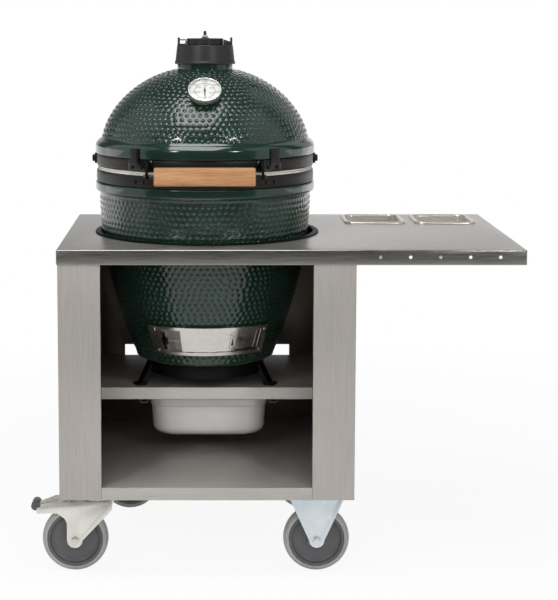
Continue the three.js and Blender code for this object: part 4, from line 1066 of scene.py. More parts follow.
def make_fire_box():
    low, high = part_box("fire_box")
    outer = half_width("fire_box")
    seat = grate_low.z - hair
    grate_radius = half_width("fire_grate")
    opening = grate_radius - ledge
    cup = lathed("fire_box_cast", [
        (0, low.z), (box_foot_radius, low.z), (box_foot_radius + 0.0025, low.z + box_round),
        (outer - 0.001, high.z - box_round), (outer - box_round, high.z), (outer - box_wall, high.z),
        (grate_radius + 0.002, seat), (opening, seat), (opening, low.z + box_wall), (0, low.z + box_wall),
    ])
    fitted(eased(carved(cup, [gate_wedge(0.052, gate_inset + 0.002)])), "fire_box", raw_ceramic)


make_fire_box()
smooth_ring("fire_ring", raw_ceramic, 0.024, 0.004)


# Fire grate and cooking grid: a slotted cast plate for the coals, and a grid of steel rods
# welded into a rim. The rods are one rod repeated across the rim.
cast_iron = moulded("cast_iron", "#1d1b1a", 0.45, 520, 0.00022, 0.16)
rod_radius = 0.0034
grid_rods = 25
rim_width = 0.012
rim_round = 0.003
grid_steel = brushed_steel("grid_steel", (0.62, 0.60, 0.58), "X", 0.24)
dressed("fire_grate", cast_iron, 0.0012)


def rods_tree():
    """Geometry Nodes: parallel rods across a circle, each as long as its chord."""
    tree, given = opened_tree("rods", {
        "Rim": "Geometry", "Count": "Int", "Rim Radius": "Float", "Rod Radius": "Float",
        "Middle": "Vector", "Steel": "Material",
    })
    radius = given["Rim Radius"]
    line = add(tree, "GeometryNodeMeshLine", {"Count": given["Count"]})
    number = maths(tree, "ADD", add(tree, "GeometryNodeInputIndex"), 1)
    share = maths(tree, "DIVIDE", number, maths(tree, "ADD", given["Count"], 1))
    aside = maths(tree, "SUBTRACT", maths(tree, "MULTIPLY", share, 2), 1)
    aside = maths(tree, "MULTIPLY", aside, radius)
    place = add(tree, "ShaderNodeVectorMath", {0: vector_in(tree, Y=aside), 1: given["Middle"]})
    spread = add(tree, "GeometryNodeSetPosition", {"Geometry": line, "Position": place})
    squares = [maths(tree, "MULTIPLY", length, length) for length in (radius, aside)]
    half = maths(tree, "SQRT", maths(tree, "SUBTRACT", *squares))
    rod = add(tree, "GeometryNodeMeshCylinder", {
        "Vertices": 12, "Depth": 1, "Radius": given["Rod Radius"],
    })
    placed = add(tree, "GeometryNodeInstanceOnPoints", {
        "Points": spread, "Instance": rod, "Rotation": (0, math.pi / 2, 0),
        "Scale": vector_in(tree, X=1, Y=1, Z=maths(tree, "MULTIPLY", half, 2)),
    })
    return closed_tree(tree, joined_shapes(tree, given["Rim"], placed), given["Steel"])


def make_grid():
    low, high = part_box("cooking_grid")
    outer = half_width("cooking_grid")
    inner = outer - rim_width
    side_low, side_high = low.z + rim_round, high.z - rim_round
    rim = lathed("grid_welded", [
        (inner + rim_round, low.z), (outer - rim_round, low.z), (outer, side_low), (outer, side_high),
        (outer - rim_round, high.z), (inner + rim_round, high.z), (inner, side_high), (inner, side_low),
    ], sides=96)
    noded(rim, rods_tree(), {
        "Count": grid_rods, "Rim Radius": outer - rim_width / 2, "Rod Radius": rod_radius,
        "Middle": (axis.x, axis.y, high.z - rod_radius), "Steel": grid_steel,
    })
    fitted(eased(rim), "cooking_grid", grid_steel)


make_grid()


# Bands and gaskets: two rolled steel bands, painted charcoal, clamp the ceramic rims between
# bolted lugs at the sides. Grey felt lies between the rims.
band_steel = moulded(
    "band_steel", "#1d1a18", 0.38, 240, 0.00008, metallic=0.2, Specular_IOR_Level=0.35,
)
felt = moulded("felt", "#d8d3cd", 0.95, 700, 0.0006)
band_height = 0.0275
band_wall = 0.003
band_swell = 0.0006
lug_plate = 0.0128
lug_nut = 0.0088
lug_stud = 0.0040
tab_aside = 0.0088
tab_size = Vector((0.0064, 0.007, 0.025))


def make_band(node, foot):
    top = foot + band_height
    quarter = band_height * 0.25
    wall = lug_radius - band_wall
    edge = lug_radius - band_swell
    return lathed(node + "_rolled", [
        (wall, foot), (edge, foot), (lug_radius, foot + quarter),
        (lug_radius, top - quarter), (edge, top), (wall, top),
    ], 0.0011)


def make_lug(side, z):
    """Clamp at the side: a plate and two tabs on the band, a nut and the end of its bolt."""
    x = axis.x + side * lug_radius
    middle = (x, axis.y, z)

    def bar(name, start, end, radius, sides):
        return bar_along("x", name, middle, x + side * start, x + side * end, radius, sides)

    plate = rounded(bar("lug", -0.0015, 0.005, lug_plate, 10), 0.0012)
    nut = rounded(bar("nut", 0.004, 0.0115, lug_nut, 6), 0.0010)
    stud = bar("stud", 0.004, 0.0119, lug_stud, 16)
    tabs = []
    for along in (-tab_aside, tab_aside):
        place = Vector((x + side * 0.0022, axis.y + along, z))
        tabs.append(rounded(block("tab", place - tab_size / 2, place + tab_size / 2), 0.001))
    return [plate, nut, stud, *tabs]


lower_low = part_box("lower_band")[0]
lower_middle, upper_middle = spanned("lower_band")[2], spanned("upper_band")[2]
lug_radius = half_width("lower_band")
fitted(make_band("lower_band", lower_low.z), "lower_band", band_steel)
upper_band = make_band("upper_band", upper_middle.z - band_height / 2)
lugs = [part for side in (-1, 1) for part in make_lug(side, upper_middle.z)]
fitted(joined(upper_band, lugs), "upper_band", band_steel)
for node in ("base_gasket", "dome_gasket"):
    smooth_ring(node, felt, 0.026, 0.0016)


# Band bolts: hexagon heads on washers, in a row beside each handle bracket. One tree puts
# them on their points, each facing the way that its point is marked.
enamel_black = moulded("black_paint", "#0a0a0b", 0.2, 60, 0.00012, 0.05)
bolt_sizes = {
    "Sides": 6, "Head Radius": 0.0042, "Crown Radius": 0.0042 * 0.92, "Head Height": 0.0028,
    "Washer Radius": 0.0056, "Washer Height": 0.0009,
}
upper_bolts = (30.0, 33.5, 39.0)
lower_bolts = (33.0, 38.0)
bracket_stand = 0.00435
bracket_drop = 0.004


def fasteners_tree():
    """Geometry Nodes: a head on a washer at every point, turned to the point's facing."""
    tree, given = opened_tree("fasteners", {
        "Places": "Geometry", "Sides": "Int", "Head Radius": "Float", "Crown Radius": "Float",
        "Head Height": "Float", "Washer Radius": "Float", "Washer Height": "Float", "Metal": "Material",
    })
    thick = given["Washer Height"]
    washer = add(tree, "GeometryNodeMeshCylinder", {
        "Vertices": 24, "Radius": given["Washer Radius"], "Depth": thick,
    })
    head = add(tree, "GeometryNodeMeshCone", {
        "Vertices": given["Sides"], "Radius Bottom": given["Head Radius"],
        "Radius Top": given["Crown Radius"], "Depth": given["Head Height"],
    })
    raised = [
        add(tree, "GeometryNodeTransform", {"Geometry": shape, "Translation": vector_in(tree, Z=height)})
        for shape, height in ((washer, maths(tree, "MULTIPLY", thick, 0.5)), (head, thick))
    ]
    facing = mark_of(tree, "facing", "FLOAT_VECTOR")
    turned = add(tree, "FunctionNodeAlignRotationToVector", {"Vector": facing}, axis="Z")
    placed = add(tree, "GeometryNodeInstanceOnPoints", {
        "Points": given["Places"], "Instance": joined_shapes(tree, *raised), "Rotation": turned,
    })
    return closed_tree(tree, placed, given["Metal"])


fasteners = fasteners_tree()


def bolted(name, node, material, sizes, spots):
    """Fasteners at (place, facing) spots, riding with a node's body."""
    mesh = bpy.data.meshes.new(name)
    mesh.from_pydata([tuple(place) for place, facing in spots], [], [])
    facing = mesh.attributes.new("facing", "FLOAT_VECTOR", "POINT")
    facing.data.foreach_set("vector", [part for place, way in spots for part in way])
    piece = noded(linked(name, mesh), fasteners, {**sizes, "Metal": material})
    fitted(eased(piece), node, material, stands_for=[])


def around(angle, radius, z):
    """A place and its outward facing, at an angle from the front of the kamado."""
    turn = math.radians(angle)
    way = Vector((math.sin(turn), -math.cos(turn), 0))
    return axis + way * radius + Vector((0, 0, z)), way


for name, node, angles, radius, z in (
    ("lower_band_bolts", "lower_band", lower_bolts, lug_radius, lower_middle.z),
    (
        "bracket_bolts", "handle_bracket_left", upper_bolts, lug_radius + bracket_stand,
        upper_middle.z - bracket_drop,
    ),
):
    spots = [around(side * angle, radius - hair, z) for side in (-1, 1) for angle in angles]
    bolted(name, node, enamel_black, bolt_sizes, spots)


# Handle: black steel brackets on the upper band, a black rod through their arms, and a bare
# oiled hardwood bar on the rod, its edges eased by hand.
bar_fillet = 0.0045
bar_bore = 0.0055
handle_rod_radius = 0.005


def oiled_wood(name, tint, dark):
    """Straight-grained hardwood: long figure, fine pores and an oiled sheen."""
    material = new_material(name, tint, 0.5)
    tree = material.node_tree
    pores = noise_in(tree, 700, 3, (0.03, 1, 1))
    grain = mottled(tree, noise_in(tree, 60, 6, (0.05, 1, 1)), dark, tint, 0.35, 0.68)
    flecks = mottled(tree, pores, (0.72, 0.66, 0.6), (1.0, 1.0, 1.0), 0.36, 0.5)
    return dressed_up(material, {
        "Base Color": mixed(tree, grain, flecks, blend="MULTIPLY"),
        "Roughness": ranged(tree, pores, 0.62, 0.42),
    }, pores, 0.00015, 0.5)


handle_wood = oiled_wood("handle_wood", colour("#c2946a"), colour("#a3744b"))
for node in ("handle_bracket_left", "handle_bracket_right"):
    dressed(node, enamel_black, 0.0009)
bar_low, bar_high, bar_middle = spanned("handle_bar")
bar = rounded(block("handle_turned", bar_low, bar_high), bar_fillet, 5)
bore_start, bore_end = bar_low.x - overrun, bar_high.x + overrun
carved(bar, [bar_along("x", "bore", bar_middle, bore_start, bore_end, bar_bore)])
fitted(eased(bar), "handle_bar", handle_wood)


def plain_rod(name, node, material, radius, end_round):
    """Round rod as long as its node, from side to side."""
    low, high, middle = spanned(node)
    fitted(rounded(bar_along("x", name, middle, low.x, high.x, radius), end_round), node, material)


plain_rod("handle_rod_round", "handle_rod", enamel_black, handle_rod_radius, 0.0008)


# Hinge: pressed ears on both bands turn on one plated pin, and a torsion spring wound round
# the pin takes the weight of the lid. The spring is one wire along a helix.
spring_turns = 9
turn_steps = 32
wire_radius = 0.002
wire_sides = 8
spring_steel = moulded("spring_steel", "#2a2827", 0.35, 300, 0.00005, 0.1, metallic=0.7)
for node in ("hinge_lower", "hinge_upper"):
    dressed(node, band_steel, 0.0009)
plain_rod("hinge_pin_plated", "hinge_pin", zinc, 0.006, 0.001)


def make_spring():
    low, high, middle = spanned("hinge_spring")
    coil = (high.z - low.z) / 2 - wire_radius
    length = high.x - low.x - 2 * wire_radius
    steps = spring_turns * turn_steps
    loops = []
    for i in range(steps + 1):
        angle = i / turn_steps * 2 * math.pi
        out = Vector((0, math.cos(angle), math.sin(angle)))
        x = low.x + wire_radius + length * i / steps
        centre = Vector((x, middle.y, middle.z)) + out * coil
        loops.append([
            centre + wire_radius * (out * math.cos(a) + Vector((1, 0, 0)) * math.sin(a))
            for a in [2 * math.pi * k / wire_sides for k in range(wire_sides)]
        ])
    return eased(lofted("hinge_spring_wound", loops), math.radians(60))


fitted(make_spring(), "hinge_spring", spring_steel)


# Chimney cap: sand-cast iron, painted matte, in three parts: a body over the neck with two
# ears, a disc with ports that turns on it, and a threaded spindle with its nuts.
cap_sides = 128
cap_height = 0.048
cap_wall = 0.0055
cap_flange = 0.076
cap_radius = 0.070
cap_mouth = 0.038
cap_roof = 0.007
ear_half = 0.012
ear_foot = -0.0035
ear_top = 0.017
spoke_half = (0.042, 0.0055)
bore_radius = 0.0043
disc_radius = 0.0455
disc_edge = 0.001
disc_groove = 0.0007
disc_height = 0.0155
port_radius = 0.007
port_reach = 0.019
thread_radius, thread_root = 0.004, 0.0034
thread_pitch = 0.00125
spindle_nut = 0.0079


def ear(outline, side, top):
    """Upright lug beside the disc, from an outline of distances out and heights."""
    return rounded(lofted("ear", [
        [(axis.x + side * x, axis.y + y, top + z) for x, z in outline]
        for y in (-ear_half, ear_half)
    ]), 0.0007)


def make_cap():
    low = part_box("cap_body")[0]
    neck = dome_top + hair
    top = low.z + cap_height
    sleeve = neck_radius + 0.0008
    outer = cap_radius - cap_wall / 4
    body = lathed("cap_cast", [
        (sleeve, low.z), (cap_flange, low.z), (cap_flange, low.z + cap_wall),
        (0.0744, low.z + cap_wall * 1.4), (cap_radius, top - cap_wall / 4), (outer, top),
        (cap_mouth, top), (cap_mouth, top - cap_roof), (0.059, top - cap_roof),
        (flue_radius + cap_wall, neck), (sleeve, neck),
    ], 0.0012, cap_sides)
    inner, post, near_disc = 0.0473, 0.0631, 0.0460
    back = [(outer, ear_foot), (outer, ear_top), (outer - 0.002, ear_top + 0.002), (post, ear_top)]
    frame_ear = [(inner, ear_foot), *back] + [
        (post, 0.0135), (inner, 0.0135), (inner, 0.011), (post, 0.011), (post, 0.0025), (inner, 0.0025),
    ]
    solid_ear = [(near_disc, ear_foot), *back, (post, 0.008), (near_disc, 0.0135)]
    inner_post = [
        (near_disc, ear_foot), (0.0505, ear_foot), (0.0495, 0.006), (0.0478, 0.0125), (near_disc, 0.0125),
    ]
    parts = [ear(frame_ear, -1, top), ear(inner_post, -1, top), ear(solid_ear, 1, top)]
    for x, y in (spoke_half, spoke_half[::-1]):
        spoke_low = (axis.x - x, axis.y - y, top - 0.0068)
        parts.append(block("spoke", spoke_low, (axis.x + x, axis.y + y, top - 0.0002)))
    bore = bar_along("z", "bore", axis, top - 0.02, top + 0.01, bore_radius, 24)
    carved(body, parts, "UNION")
    return eased(carved(body, [bore]), math.radians(40))


def make_disc():
    low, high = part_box("cap_disc")
    step = low.z + disc_height
    edge, waist = disc_radius - disc_edge, disc_radius - disc_groove
    groove = low.z + 0.0095
    disc = lathed("cap_disc_cast", [
        (0, low.z), (edge, low.z), (disc_radius, low.z + disc_edge), (disc_radius, groove),
        (waist, groove + disc_groove), (waist, groove + disc_groove + disc_edge),
        (disc_radius, groove + 2 * disc_groove + disc_edge), (disc_radius, step - disc_edge),
        (edge, step), (0.0115, step), (0.0105, step + 0.0006), (0.0090, high.z - 0.0006),
        (0.0082, high.z), (0, high.z),
    ], sides=cap_sides)
    spots = [(around((i + 0.5) * 90, port_reach, 0)[0], port_radius, 32) for i in range(4)]
    return rounded(carved(disc, [
        bar_along("z", "port", spot, low.z - overrun, high.z + overrun, radius, sides)
        for spot, radius, sides in [*spots, (axis, bore_radius, 24)]
    ]), 0.0005, 1, cut_limit)


def make_spindle():
    """Threaded rod: its thread is a row of shallow rings."""
    low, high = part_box("cap_spindle")
    disc_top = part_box("cap_disc")[1].z + hair
    shank = thread_radius - 0.0005
    start = disc_top + 0.005
    turns = int((high.z - 0.0015 - start) / thread_pitch)
    profile = [(0, low.z), (shank, low.z), (shank, start)]
    for i in range(turns):
        profile.append((thread_radius, start + (i + 0.25) * thread_pitch))
        profile.append((thread_root, start + (i + 0.75) * thread_pitch))
    profile += [(thread_radius - 0.001, high.z), (0, high.z)]
    rod = lathed("cap_spindle_threaded", profile, sides=24)
    joined(rod, [
        rounded(bar_along("z", "nut", axis, foot, foot + height, spindle_nut, 6), 0.0006)
        for foot, height in ((low.z + 0.0001, 0.0048), (disc_top, 0.005))
    ])

    def is_nut(face):
        away = (face.center - axis).xy.length
        return away > thread_radius + 0.0005 or face.normal.z ** 2 > 0.5

    return painted(rod, dark_steel, zinc, is_nut)


dome_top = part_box("dome_ceramic")[1].z
dark_steel = moulded("dark_steel", "#2b2a29", 0.35, 500, 0.00003, 0.1)
fitted(make_cap(), "cap_body", cast_iron)
fitted(make_disc(), "cap_disc", cast_iron)
fitted(make_spindle(), "cap_spindle")


# Thermometer: a polished case on a stem through the dome, with a printed pale dial, a black
# needle and a glass. The dial has plain ticks and two scales of numbers, from 50 to 350 at
# its edge and from 200 to 600 inside them.
gauge_radius = 0.040
gauge_stand = 0.009
gauge_depth = 0.015
gauge_wall = 0.0022
gauge_back = 0.0075
gauge_collar = 0.015
stem_radius, stem_length = 0.004, 0.070
dial_radius, dial_thick = 0.0375, 0.0012
glass_radius = 0.0376
case_steel = brushed_steel("case_steel", (0.72, 0.71, 0.70), "X", 0.24, 0.0)
dial_white = moulded("dial_face", "#c6c5c2", 0.35, 500, 0.00002, 0.02)
print_black = moulded("dial_print", "#202022", 0.5, 500, 0.00002, 0.05)
needle_paint = moulded("needle_paint", "#1c1c1e", 0.35, 500, 0.00002, 0.05)
clear_glass = new_material("clear_glass", (1, 1, 1), 0.03, Transmission_Weight=1, IOR=1.25)

well, mouth = gauge_stand + gauge_back, gauge_stand + gauge_depth
bezel = gauge_radius - gauge_wall
dial_foot = well + hair
dial_level = dial_foot + dial_thick
case = lathed("thermometer_spun", [
    (0.0001, -stem_length), (stem_radius, -stem_length), (stem_radius, -hair), (gauge_collar, -hair),
    (gauge_collar, gauge_stand), (gauge_radius, gauge_stand), (gauge_radius, mouth), (bezel, mouth),
    (bezel, well), (0.0001, well),
], 0.0012, cap_sides, place=gauge)
fitted(case, "thermometer_case", case_steel)
dial = lathed("thermometer_dial_printed", [
    (0, dial_foot), (dial_radius, dial_foot), (dial_radius, dial_level), (0, dial_level),
], 0.0002, cap_sides, closed=False, place=gauge)
fitted(dial, "thermometer_dial", dial_white)
glass = lathed("thermometer_glass", [
    (0, 0.0212), (glass_radius - 0.0005, 0.0208), (glass_radius, 0.0212),
    (glass_radius - 0.0005, 0.0222), (0.02, 0.0229), (0, 0.0232),
], sides=cap_sides, closed=False, place=gauge)
fitted(glass, "thermometer_case", clear_glass, stands_for=[])


# Dial marks: one tick repeated round the scale, long at each number and short between.
scale_start, scale_sweep = 30, 300
tick_width, tick_height = 0.0009, 0.00012
print_level = dial_level + 0.00002
ring_radius, ring_width = 0.0238, 0.0011
outer_numbers = {"radius": 0.0300, "size": 0.0076}
inner_numbers = {"radius": 0.0178, "size": 0.0070}
needle_angle = 1.5
needle_lift, needle_thick = 0.001, 0.0008
needle_length, tail_length = 0.027, 0.010
needle_half, tail_half = 0.0011, 0.0015
boss_radius = 0.003


def ticks_tree():
    """Geometry Nodes: flat ticks along an arc."""
    tree, given = opened_tree("ticks", {
        "Count": "Int", "Step": "Float", "Start": "Float", "Radius": "Float", "Length": "Float",
        "Ink": "Material",
    })
    line = add(tree, "GeometryNodeMeshLine", {"Count": given["Count"], "Offset": (0, 0, 0)})
    index = add(tree, "GeometryNodeInputIndex")
    angle = maths(tree, "MULTIPLY_ADD", index, given["Step"], given["Start"])
    size = vector_in(tree, X=tick_width, Y=given["Length"], Z=tick_height)
    away = add(tree, "GeometryNodeTransform", {
        "Geometry": add(tree, "GeometryNodeMeshCube", {"Size": size}),
        "Translation": vector_in(tree, Y=given["Radius"]),
    })
    placed = add(tree, "GeometryNodeInstanceOnPoints", {
        "Points": line, "Instance": away, "Rotation": vector_in(tree, Z=angle),
    })
    return closed_tree(tree, placed, given["Ink"])


ticks = ticks_tree()


def printed(piece):
    return fitted(piece, "thermometer_dial", print_black, stands_for=[])


for name, count, radius, length in (
    ("dial_long_ticks", 7, 0.0350, 0.0036), ("dial_short_ticks", 31, 0.0359, 0.0018),
):
    marks = noded(linked(name, bpy.data.meshes.new(name)), ticks, {
        "Count": count, "Step": -math.radians(scale_sweep / (count - 1)),
        "Start": math.radians(180 - scale_start), "Radius": radius, "Length": length, "Ink": print_black,
    })
    marks.data.transform(gauge @ Matrix.Translation((0, 0, print_level)))
    printed(marks)
printed(lathed("dial_inner_ring", [
    (ring_radius, print_level), (ring_radius + ring_width, print_level),
    (ring_radius + ring_width, print_level + tick_height), (ring_radius, print_level + tick_height),
], sides=96, place=gauge))


def make_number(number, share, radius, size):
    """A number at its share of the scale, a flat shape made into a thin body."""
    text = bpy.data.curves.new("number", "FONT")
    text.body = str(number)
    text.size = size
    text.align_x = "CENTER"
    text.align_y = "CENTER"
    text.extrude = tick_height / 2
    text.resolution_u = 2
    letters = linked("number", text)
    mesh = plain_mesh(letters)
    bpy.data.objects.remove(letters)
    angle = math.radians(180 - scale_start - scale_sweep * share)
    place = Vector((-math.sin(angle), math.cos(angle), 0)) * radius
    mesh.transform(Matrix.Translation(place + Vector((0, 0, print_level))))
    return linked("number", mesh)


def make_needle():
    """Pointer cut from sheet: a wide tail, a long arm that tapers little and a round boss."""
    foot = dial_level + needle_lift
    side = [(tail_half, tail_length), (tail_half, 0), (needle_half, -needle_length)]
    outline = [(-x, y) for x, y in side] + side[::-1]
    pointer = lofted("thermometer_pointer", [
        [(x, y, z) for x, y in outline] for z in (foot, foot + needle_thick)
    ])
    boss = bar_along("z", "boss", (0, 0, 0), dial_level + hair, foot + 0.0006, boss_radius, 24)
    carved(pointer, [boss], "UNION")
    pointer.data.transform(gauge @ Matrix.Rotation(math.radians(needle_angle), 4, "Z"))
    return pointer


numbers = [make_number(50 + 50 * i, i / 6, **outer_numbers) for i in range(7)]
for warmth in range(200, 700, 100):
    numbers.append(make_number(warmth, ((warmth - 32) / 1.8 - 50) / 300, **inner_numbers))
dial_numbers = joined(numbers[0], numbers[1:])
dial_numbers.name = "dial_numbers"
dial_numbers.data.transform(gauge)
printed(dial_numbers)
fitted(make_needle(), "thermometer_needle", needle_paint)


# Draft door: a folded stainless frame, curved to the base and screwed on at its corners. A
# screen of fine mesh with a black grip and a plain door with a finger tab slide behind its lips.
draft_steel = brushed_steel("draft_steel", (0.70, 0.675, 0.64), "X", 0.2)
screen_steel = brushed_steel("screen_steel", (0.36, 0.34, 0.315), "X", 0.4, 0.5, 0.6)
screw_steel = brushed_steel("screw_steel", (0.75, 0.74, 0.72), "X", 0.2)
dressed("draft_frame", draft_steel, 0.0004, 1)
panel_heights = (gate_low.z + 0.0033, gate_high.z - 0.004)
opening_inset = 0.0105
gate_middle = (gate_low.z + gate_high.z) / 2
screen_angles = (-30.5, 8.0)
screen_margins = (4.9, 3.5)
screen_skin = (0.0034, 0.0047)
screen_bar = 0.003
grip_angles, grip_skin, grip_half = (1.3, 2.7), (0.0048, 0.0105), 0.023
knob_angles, knob_skin, knob_half = (1.2, 4.5), (0.0049, 0.0140), 0.0085
wire_pitch, wire_half, wire_half_angle = 0.0026, 0.0005, 0.15
wire_skins = ((0.0038, 0.0041), (0.0040, 0.0043))
wire_base_radius = 0.19
strip_step = 1.6
door_angles = (-16.5, 22.0)
door_skin = (0.0057, 0.0070)
tab_skin = (0.0068, 0.0098)
slot_skin = (0.0050, 0.0120)
door_end = door_angles[1] - 1.2


def gate_point(angle, z, out):
    """Place on the cone that the frame and its panels follow, some way off the base."""
    share = (z - gate_low.z) / (gate_high.z - gate_low.z)
    foot, top = base_skin(gate_low.z - base_foot), base_skin(gate_high.z - base_foot)
    return around(angle, foot * (1 - share) + top * share + out, z)[0]


def gate_slab(angles, heights, skin):
    """Loops of a bent strip between two angles, two heights and two distances off the base."""
    (start, end), (low, high), (near, far) = angles, heights, skin
    steps = max(1, round((end - start) / strip_step))
    corners = [(low, near), (low, far), (high, far), (high, near)]
    return [
        [gate_point(start + (end - start) * i / steps, z, out) for z, out in corners]
        for i in range(steps + 1)
    ]


def gate_tab(skin, outline):
    """Small plate over the base, from angles before the door's end and heights off its middle."""
    return lofted("tab", [
        [gate_point(door_end - before, gate_middle + z, out) for before, z in outline] for out in skin
    ])


def make_screen():
    """Sheet with two rows of fine mesh and a black grip at its left end."""
    left, right = screen_angles
    first, last = left + screen_margins[0], right - screen_margins[1]
    foot, top = gate_low.z + opening_inset, gate_high.z - opening_inset
    bar_foot, bar_top = gate_middle - screen_bar, gate_middle + screen_bar
    parts = [gate_slab(angles, heights, screen_skin) for angles, heights in (
        (screen_angles, (panel_heights[0], foot)), (screen_angles, (top, panel_heights[1])),
        ((left, first), (foot, top)), ((last, right), (foot, top)), ((first, last), (bar_foot, bar_top)),
    )]
    for low, high in ((foot, bar_foot), (bar_top, top)):
        rows = round((high - low) / wire_pitch)
        for i in range(1, rows):
            z = low + (high - low) * i / rows
            parts.append(gate_slab((first, last), (z - wire_half, z + wire_half), wire_skins[0]))
        columns = round(math.radians(last - first) * wire_base_radius / wire_pitch)
        for i in range(1, columns):
            angle = first + (last - first) * i / columns
            sides = (angle - wire_half_angle, angle + wire_half_angle)
            parts.append(gate_slab(sides, (low, high), wire_skins[1]))
    sheet_faces = sum(4 * (len(loops) - 1) + 2 for loops in parts)
    for angles, half, skin in ((grip_angles, grip_half, grip_skin), (knob_angles, knob_half, knob_skin)):
        sides = [left + angle for angle in angles]
        parts.append(gate_slab(sides, (gate_middle - half, gate_middle + half), skin))
    screen = eased(lofted("draft_screen_mesh", *parts))
    return painted(screen, screen_steel, enamel_black, lambda face: face.index >= sheet_faces)


def make_door():
    """Plain sheet with a finger tab at its right end, and a slot through both."""
    door = rounded(lofted("draft_door_sheet", gate_slab(door_angles, panel_heights, door_skin)), 0.0003, 1)
    tab = gate_tab(tab_skin, [(3.6, 0.019), (3.6, -0.019), (0, -0.016), (0, 0.005)])
    slot = gate_tab(slot_skin, [(2.6, 0.010), (2.6, -0.011), (1.1, -0.011), (1.1, 0.003)])
    carved(door, [rounded(tab, 0.0004, 1)], "UNION")
    return eased(carved(door, [slot]))


fitted(make_screen(), "draft_screen")
fitted(make_door(), "draft_door", draft_steel)
frame_stand = 0.0095
screw_angles = (-34.9, 42.3)
screw_drop = 0.010
screw_sizes = {
    "Sides": 16, "Head Radius": 0.0042, "Crown Radius": 0.003, "Head Height": 0.0018,
    "Washer Radius": 0.0046, "Washer Height": 0.0004,
}


def frame_screw(angle, z):
    """Place and facing of a screw on the frame, which leans with the skin behind it."""
    height, step = z - base_foot, 0.01
    lean = (base_skin(height + step) - base_skin(height - step)) / (2 * step)
    place, way = around(angle, base_skin(height) + frame_stand - hair, z)
    return place, (way - Vector((0, 0, lean))).normalized()


screw_levels = (gate_low.z + screw_drop, gate_high.z - screw_drop)
screws = [frame_screw(angle, z) for angle in screw_angles for z in screw_levels]
bolted("draft_screws", "draft_frame", screw_steel, screw_sizes, screws)


# Studio: a pale floor that runs on into a white background, tall soft panels at both sides
# and a narrow one towards the rear, a soft box above, one over the front and two narrow lamps
# beside the camera. Behind the camera the room is dark, so that the gloss shows the panels and
# little else.
floor_half = 60.0
near_white = 0.91
side_reach = 2.2
side_height = 4.0
side_panels = ((-91.0, 2.6, 17), (74.0, 1.9, 12), (130.0, 1.0, 6))
top_place, top_size, top_power = (-0.45, -1.0, 3.3), (1.8, 1.9), 56
front_place, front_size, front_power = (-0.2, -4.6, 1.9), (2.4, 1.8), 45
strip_reach, strip_angle, strip_height = 3.4, 31.0, 2.2
strip_size, strip_power = (0.34, 0.9), 20
lit_height = 0.85
fill_level = 0.22
dark_room = 0.07


def largest(tree, first, *others):
    for other in others:
        first = maths(tree, "MAXIMUM", first, other)
    return first


def product(tree, first, second):
    return maths(tree, "MULTIPLY", first, second)


def rays(tree, kind):
    """One for the rays of a kind."""
    return add(tree, "ShaderNodeLightPath", out="Is %s Ray" % kind)


def letters_of(tree, place):
    split = tree.nodes.new("ShaderNodeSeparateXYZ")
    tree.links.new(place, split.inputs[0])
    return split.outputs


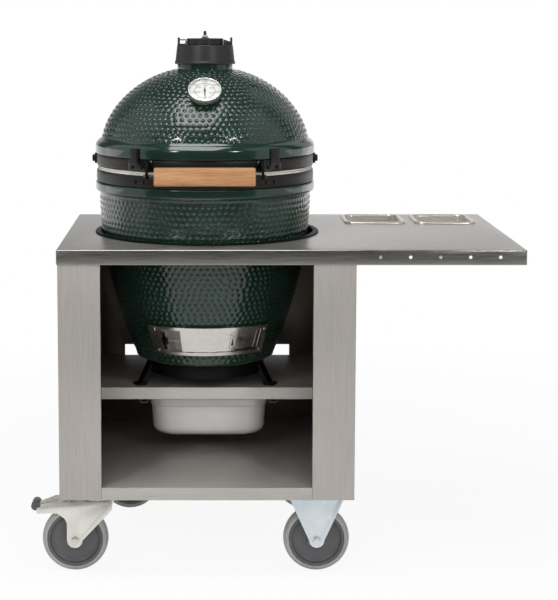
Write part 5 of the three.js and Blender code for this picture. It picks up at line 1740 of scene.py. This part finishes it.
def make_floor():
    """White where it shows to the camera, a gloss or a glass, and lit elsewhere."""
    floor = block("floor", (-floor_half, -floor_half, -0.02), (floor_half, floor_half, 0))
    material = new_material("floor_white", (0.86, 0.86, 0.86), 0.9)
    tree = material.node_tree
    dressed_up(material, {}, noise_in(tree, 40, 3), 0.0002, 0.2)
    place = places_in(tree)
    away = add(tree, "ShaderNodeVectorMath", {0: place}, "Value", operation="LENGTH")
    near = ranged(tree, away, 0.9, dark_room, 2.0, 4.0)
    behind = ranged(tree, letters_of(tree, place)["Y"], 0, 1, 0.5, 1.5)
    strength = largest(tree, rays(tree, "Camera"), largest(tree, near, behind))
    white = add(tree, "ShaderNodeEmission", {"Strength": strength})
    is_seen = largest(tree, *[rays(tree, kind) for kind in ("Camera", "Glossy", "Transmission")])
    whiteness = ranged(tree, away, near_white, 1.0, 1.0, 2.6)
    plain = tree.nodes["Principled BSDF"].outputs[0]
    blend = add(tree, "ShaderNodeMixShader", {0: product(tree, is_seen, whiteness), 1: plain, 2: white})
    fill(tree, tree.nodes["Material Output"], {"Surface": blend})
    floor.data.materials.append(material)


def make_world():
    """White for the camera and through glass; for a gloss, white straight behind the
    object and dark elsewhere; and an even fill for everything else."""
    world = bpy.data.worlds.new("studio")
    world.use_nodes = True
    tree = world.node_tree
    x, y, z = letters_of(tree, add(tree, "ShaderNodeTexCoord", out="Generated"))
    behind = ranged(tree, y, 0, 1, 0.80, 0.95)
    low_down = ranged(tree, z, 1, 0, 0.45, 0.75)
    aside = ranged(tree, x, 0.62, 1, -0.10, 0.06)
    shown = largest(tree, product(tree, behind, product(tree, low_down, aside)), dark_room)
    fill(tree, tree.nodes["Background"], {"Color": (1, 1, 1), "Strength": largest(
        tree, rays(tree, "Camera"), rays(tree, "Transmission"),
        product(tree, rays(tree, "Glossy"), shown), product(tree, rays(tree, "Diffuse"), fill_level),
    )})
    bpy.context.scene.world = world


def panel(name, place, target, size, power):
    """Soft rectangular lamp that faces a point."""
    data = bpy.data.lights.new(name, "AREA")
    data.shape = "RECTANGLE"
    data.size, data.size_y = size
    data.energy = power
    lamp = linked(name, data)
    lamp.location = place
    lamp.rotation_euler = (Vector(target) - Vector(place)).to_track_quat("-Z", "Y").to_euler()
    lamp.visible_camera = False
    return lamp


def aside_at(angle, reach, height):
    turn = math.radians(angle)
    return (axis.x + reach * math.sin(turn), -reach * math.cos(turn), height)


make_floor()
make_world()
middle = (axis.x, 0, lit_height)
side_middle = side_height / 2 + 0.05
for angle, width, power in side_panels:
    spot = aside_at(angle, side_reach, side_middle)
    panel("panel_side", spot, (axis.x, 0, side_middle), (width, side_height), power)
for angle in (-strip_angle, strip_angle):
    panel("panel_strip", aside_at(angle, strip_reach, strip_height), middle, strip_size, strip_power)
panel("panel_top", top_place, middle, top_size, top_power)
panel("panel_front", front_place, middle, front_size, front_power).visible_glossy = False
bpy.context.scene.view_settings.view_transform = "Standard"
